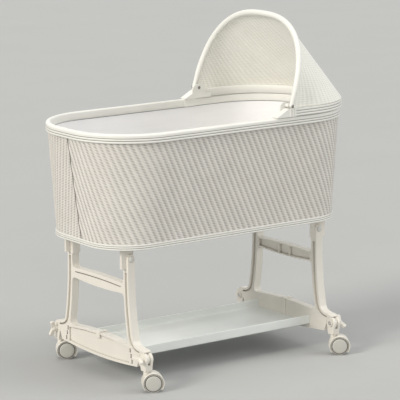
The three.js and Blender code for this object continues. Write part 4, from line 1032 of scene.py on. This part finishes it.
def add_canopy():
    feet, heads = canopy_rulings()
    up = np.linspace(0, 1, ROWS + 1)[None, :, None]
    points = feet[:, None] * (1 - up) + heads[:, None] * up
    ruling = np.linalg.norm(heads - feet, axis=1)[:, None]
    columns = np.arange(-GUSSET, COLUMNS + GUSSET + 1)[:, None]
    p1 = np.repeat(columns / COLUMNS * CANOPY_RIBS, ROWS + 1, axis=1)
    p2 = up[..., 0] * ruling / 5.9
    p1 = p1 - 0.25 * up[..., 0] * ruling / 14.6
    normal = grid_normals(points)
    centre = len(points) // 2, ROWS // 2
    outward = np.sign(normal[centre] @ (points[centre] - np.array([200, 0, 700])))
    fade = np.clip(np.minimum(np.arange(ROWS + 1), ROWS - np.arange(ROWS + 1)) / 3, 0, 1)[None]
    relief = 0.16 * np.cos(2 * math.pi * p1) * fade
    points = points + normal * (outward * (0.9 + relief))[..., None]
    cuts = gore_cuts(feet)
    for number, (a, b) in enumerate(zip(cuts, cuts[1:])):
        tuck = min(b + 3, len(points) - 1)
        block = points[a:tuck + 1].copy()
        under = np.clip(np.arange(a, tuck + 1) - b, 0, 3)[:, None, None]
        block -= normal[a:tuck + 1] * outward * 0.12 * under
        name = f"canopy_{number:02d}"
        mesh = make_mesh(name, block.reshape(-1, 3), grid_faces(*block.shape[:2]), 80)
        weave_attributes(mesh, p1[a:tuck + 1], p2[a:tuck + 1])
        gore = add(name, mesh, hood_weave, None, ["hood_skin"])
        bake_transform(gore)


add_canopy()


# ---- stage, light and camera

def pale_floor():
    g = Graph("pale floor")
    grain = g.noise(3.0, 3.0)
    g.put(g.shader.inputs["Base Color"], g.mix(grain, (0.455, 0.46, 0.455), (0.48, 0.485, 0.48)))
    g.shader.inputs["Roughness"].default_value = 0.9
    g.shader.inputs["Specular IOR Level"].default_value = 0.2
    return g.material


floor_points = [(x * 40000, y * 40000, -0.05) for x, y in ((-1, -1), (1, -1), (1, 1), (-1, 1))]
stage = add("floor", make_mesh("floor", floor_points, [(0, 1, 2, 3)]), pale_floor())

world = bpy.data.worlds.new("studio")
bpy.context.scene.world = world
world.use_nodes = True
seen = world.node_tree.nodes.new("ShaderNodeBackground")
seen.inputs["Color"].default_value = (0.67, 0.675, 0.66, 1)
choice = world.node_tree.nodes.new("ShaderNodeMixShader")
path = world.node_tree.nodes.new("ShaderNodeLightPath")
either = path.outputs["Is Camera Ray"]
for ray in ("Is Glossy Ray", "Is Transmission Ray"):
    joined = world.node_tree.nodes.new("ShaderNodeMath")
    joined.operation = "MAXIMUM"
    world.node_tree.links.new(either, joined.inputs[0])
    world.node_tree.links.new(path.outputs[ray], joined.inputs[1])
    either = joined.outputs[0]
world.node_tree.links.new(either, choice.inputs[0])
world.node_tree.links.new(world.node_tree.nodes["Background"].outputs[0], choice.inputs[1])
world.node_tree.links.new(seen.outputs[0], choice.inputs[2])
world.node_tree.links.new(choice.outputs[0], world.node_tree.nodes["World Output"].inputs["Surface"])
world.node_tree.nodes["Background"].inputs["Color"].default_value = (0.97, 1.0, 1.0, 1)
world.node_tree.nodes["Background"].inputs["Strength"].default_value = 0.29


def sun(name, direction, strength, colour, spread):
    light = bpy.data.lights.new(name, "SUN")
    light.energy = strength
    light.color = colour
    light.angle = math.radians(spread)
    lamp = bpy.data.objects.new(name, light)
    bpy.context.scene.collection.objects.link(lamp)
    lamp.rotation_euler = (-Vector(direction)).to_track_quat("-Z", "Y").to_euler()
    return lamp


sun("key", (-0.86, -0.05, 0.50), 1.95, (1.0, 0.955, 0.885), 20)
sun("top", (0.05, -0.12, 0.99), 1.05, (1.0, 0.99, 0.97), 50)
sun("right", (0.72, -0.52, 0.46), 1.0, (1.0, 1.0, 1.0), 40)
sun("left front", (-0.50, -0.76, 0.42), 0.5, (1.0, 0.98, 0.95), 30)
sun("rear", (0.25, 0.92, 0.30), 0.25, (1.0, 0.99, 0.97), 40)

AZIMUTH, ELEVATION, ROLL = (math.radians(a) for a in (-35.69, 11.36, -0.42))
DISTANCE = 5.9906
TARGET = Vector((0.01243, 0, 0.41439))
right = Vector((math.cos(AZIMUTH), math.sin(AZIMUTH), 0))
back = Vector((
    math.sin(AZIMUTH) * math.cos(ELEVATION),
    -math.cos(AZIMUTH) * math.cos(ELEVATION),
    math.sin(ELEVATION),
))
upward = back.cross(right)
rolled_right = right * math.cos(ROLL) + upward * math.sin(ROLL)
rolled_up = back.cross(rolled_right)
lens = bpy.data.cameras.new("camera")
lens.lens = 208.77
lens.sensor_width = 36
lens.sensor_fit = "HORIZONTAL"
lens.clip_end = 200
camera = bpy.data.objects.new("camera", lens)
bpy.context.scene.collection.objects.link(camera)
axes = Matrix((rolled_right, rolled_up, back)).transposed().to_4x4()
camera.matrix_world = Matrix.Translation(TARGET + back * DISTANCE) @ axes
bpy.context.scene.camera = camera
bpy.context.scene.view_settings.view_transform = "Standard"
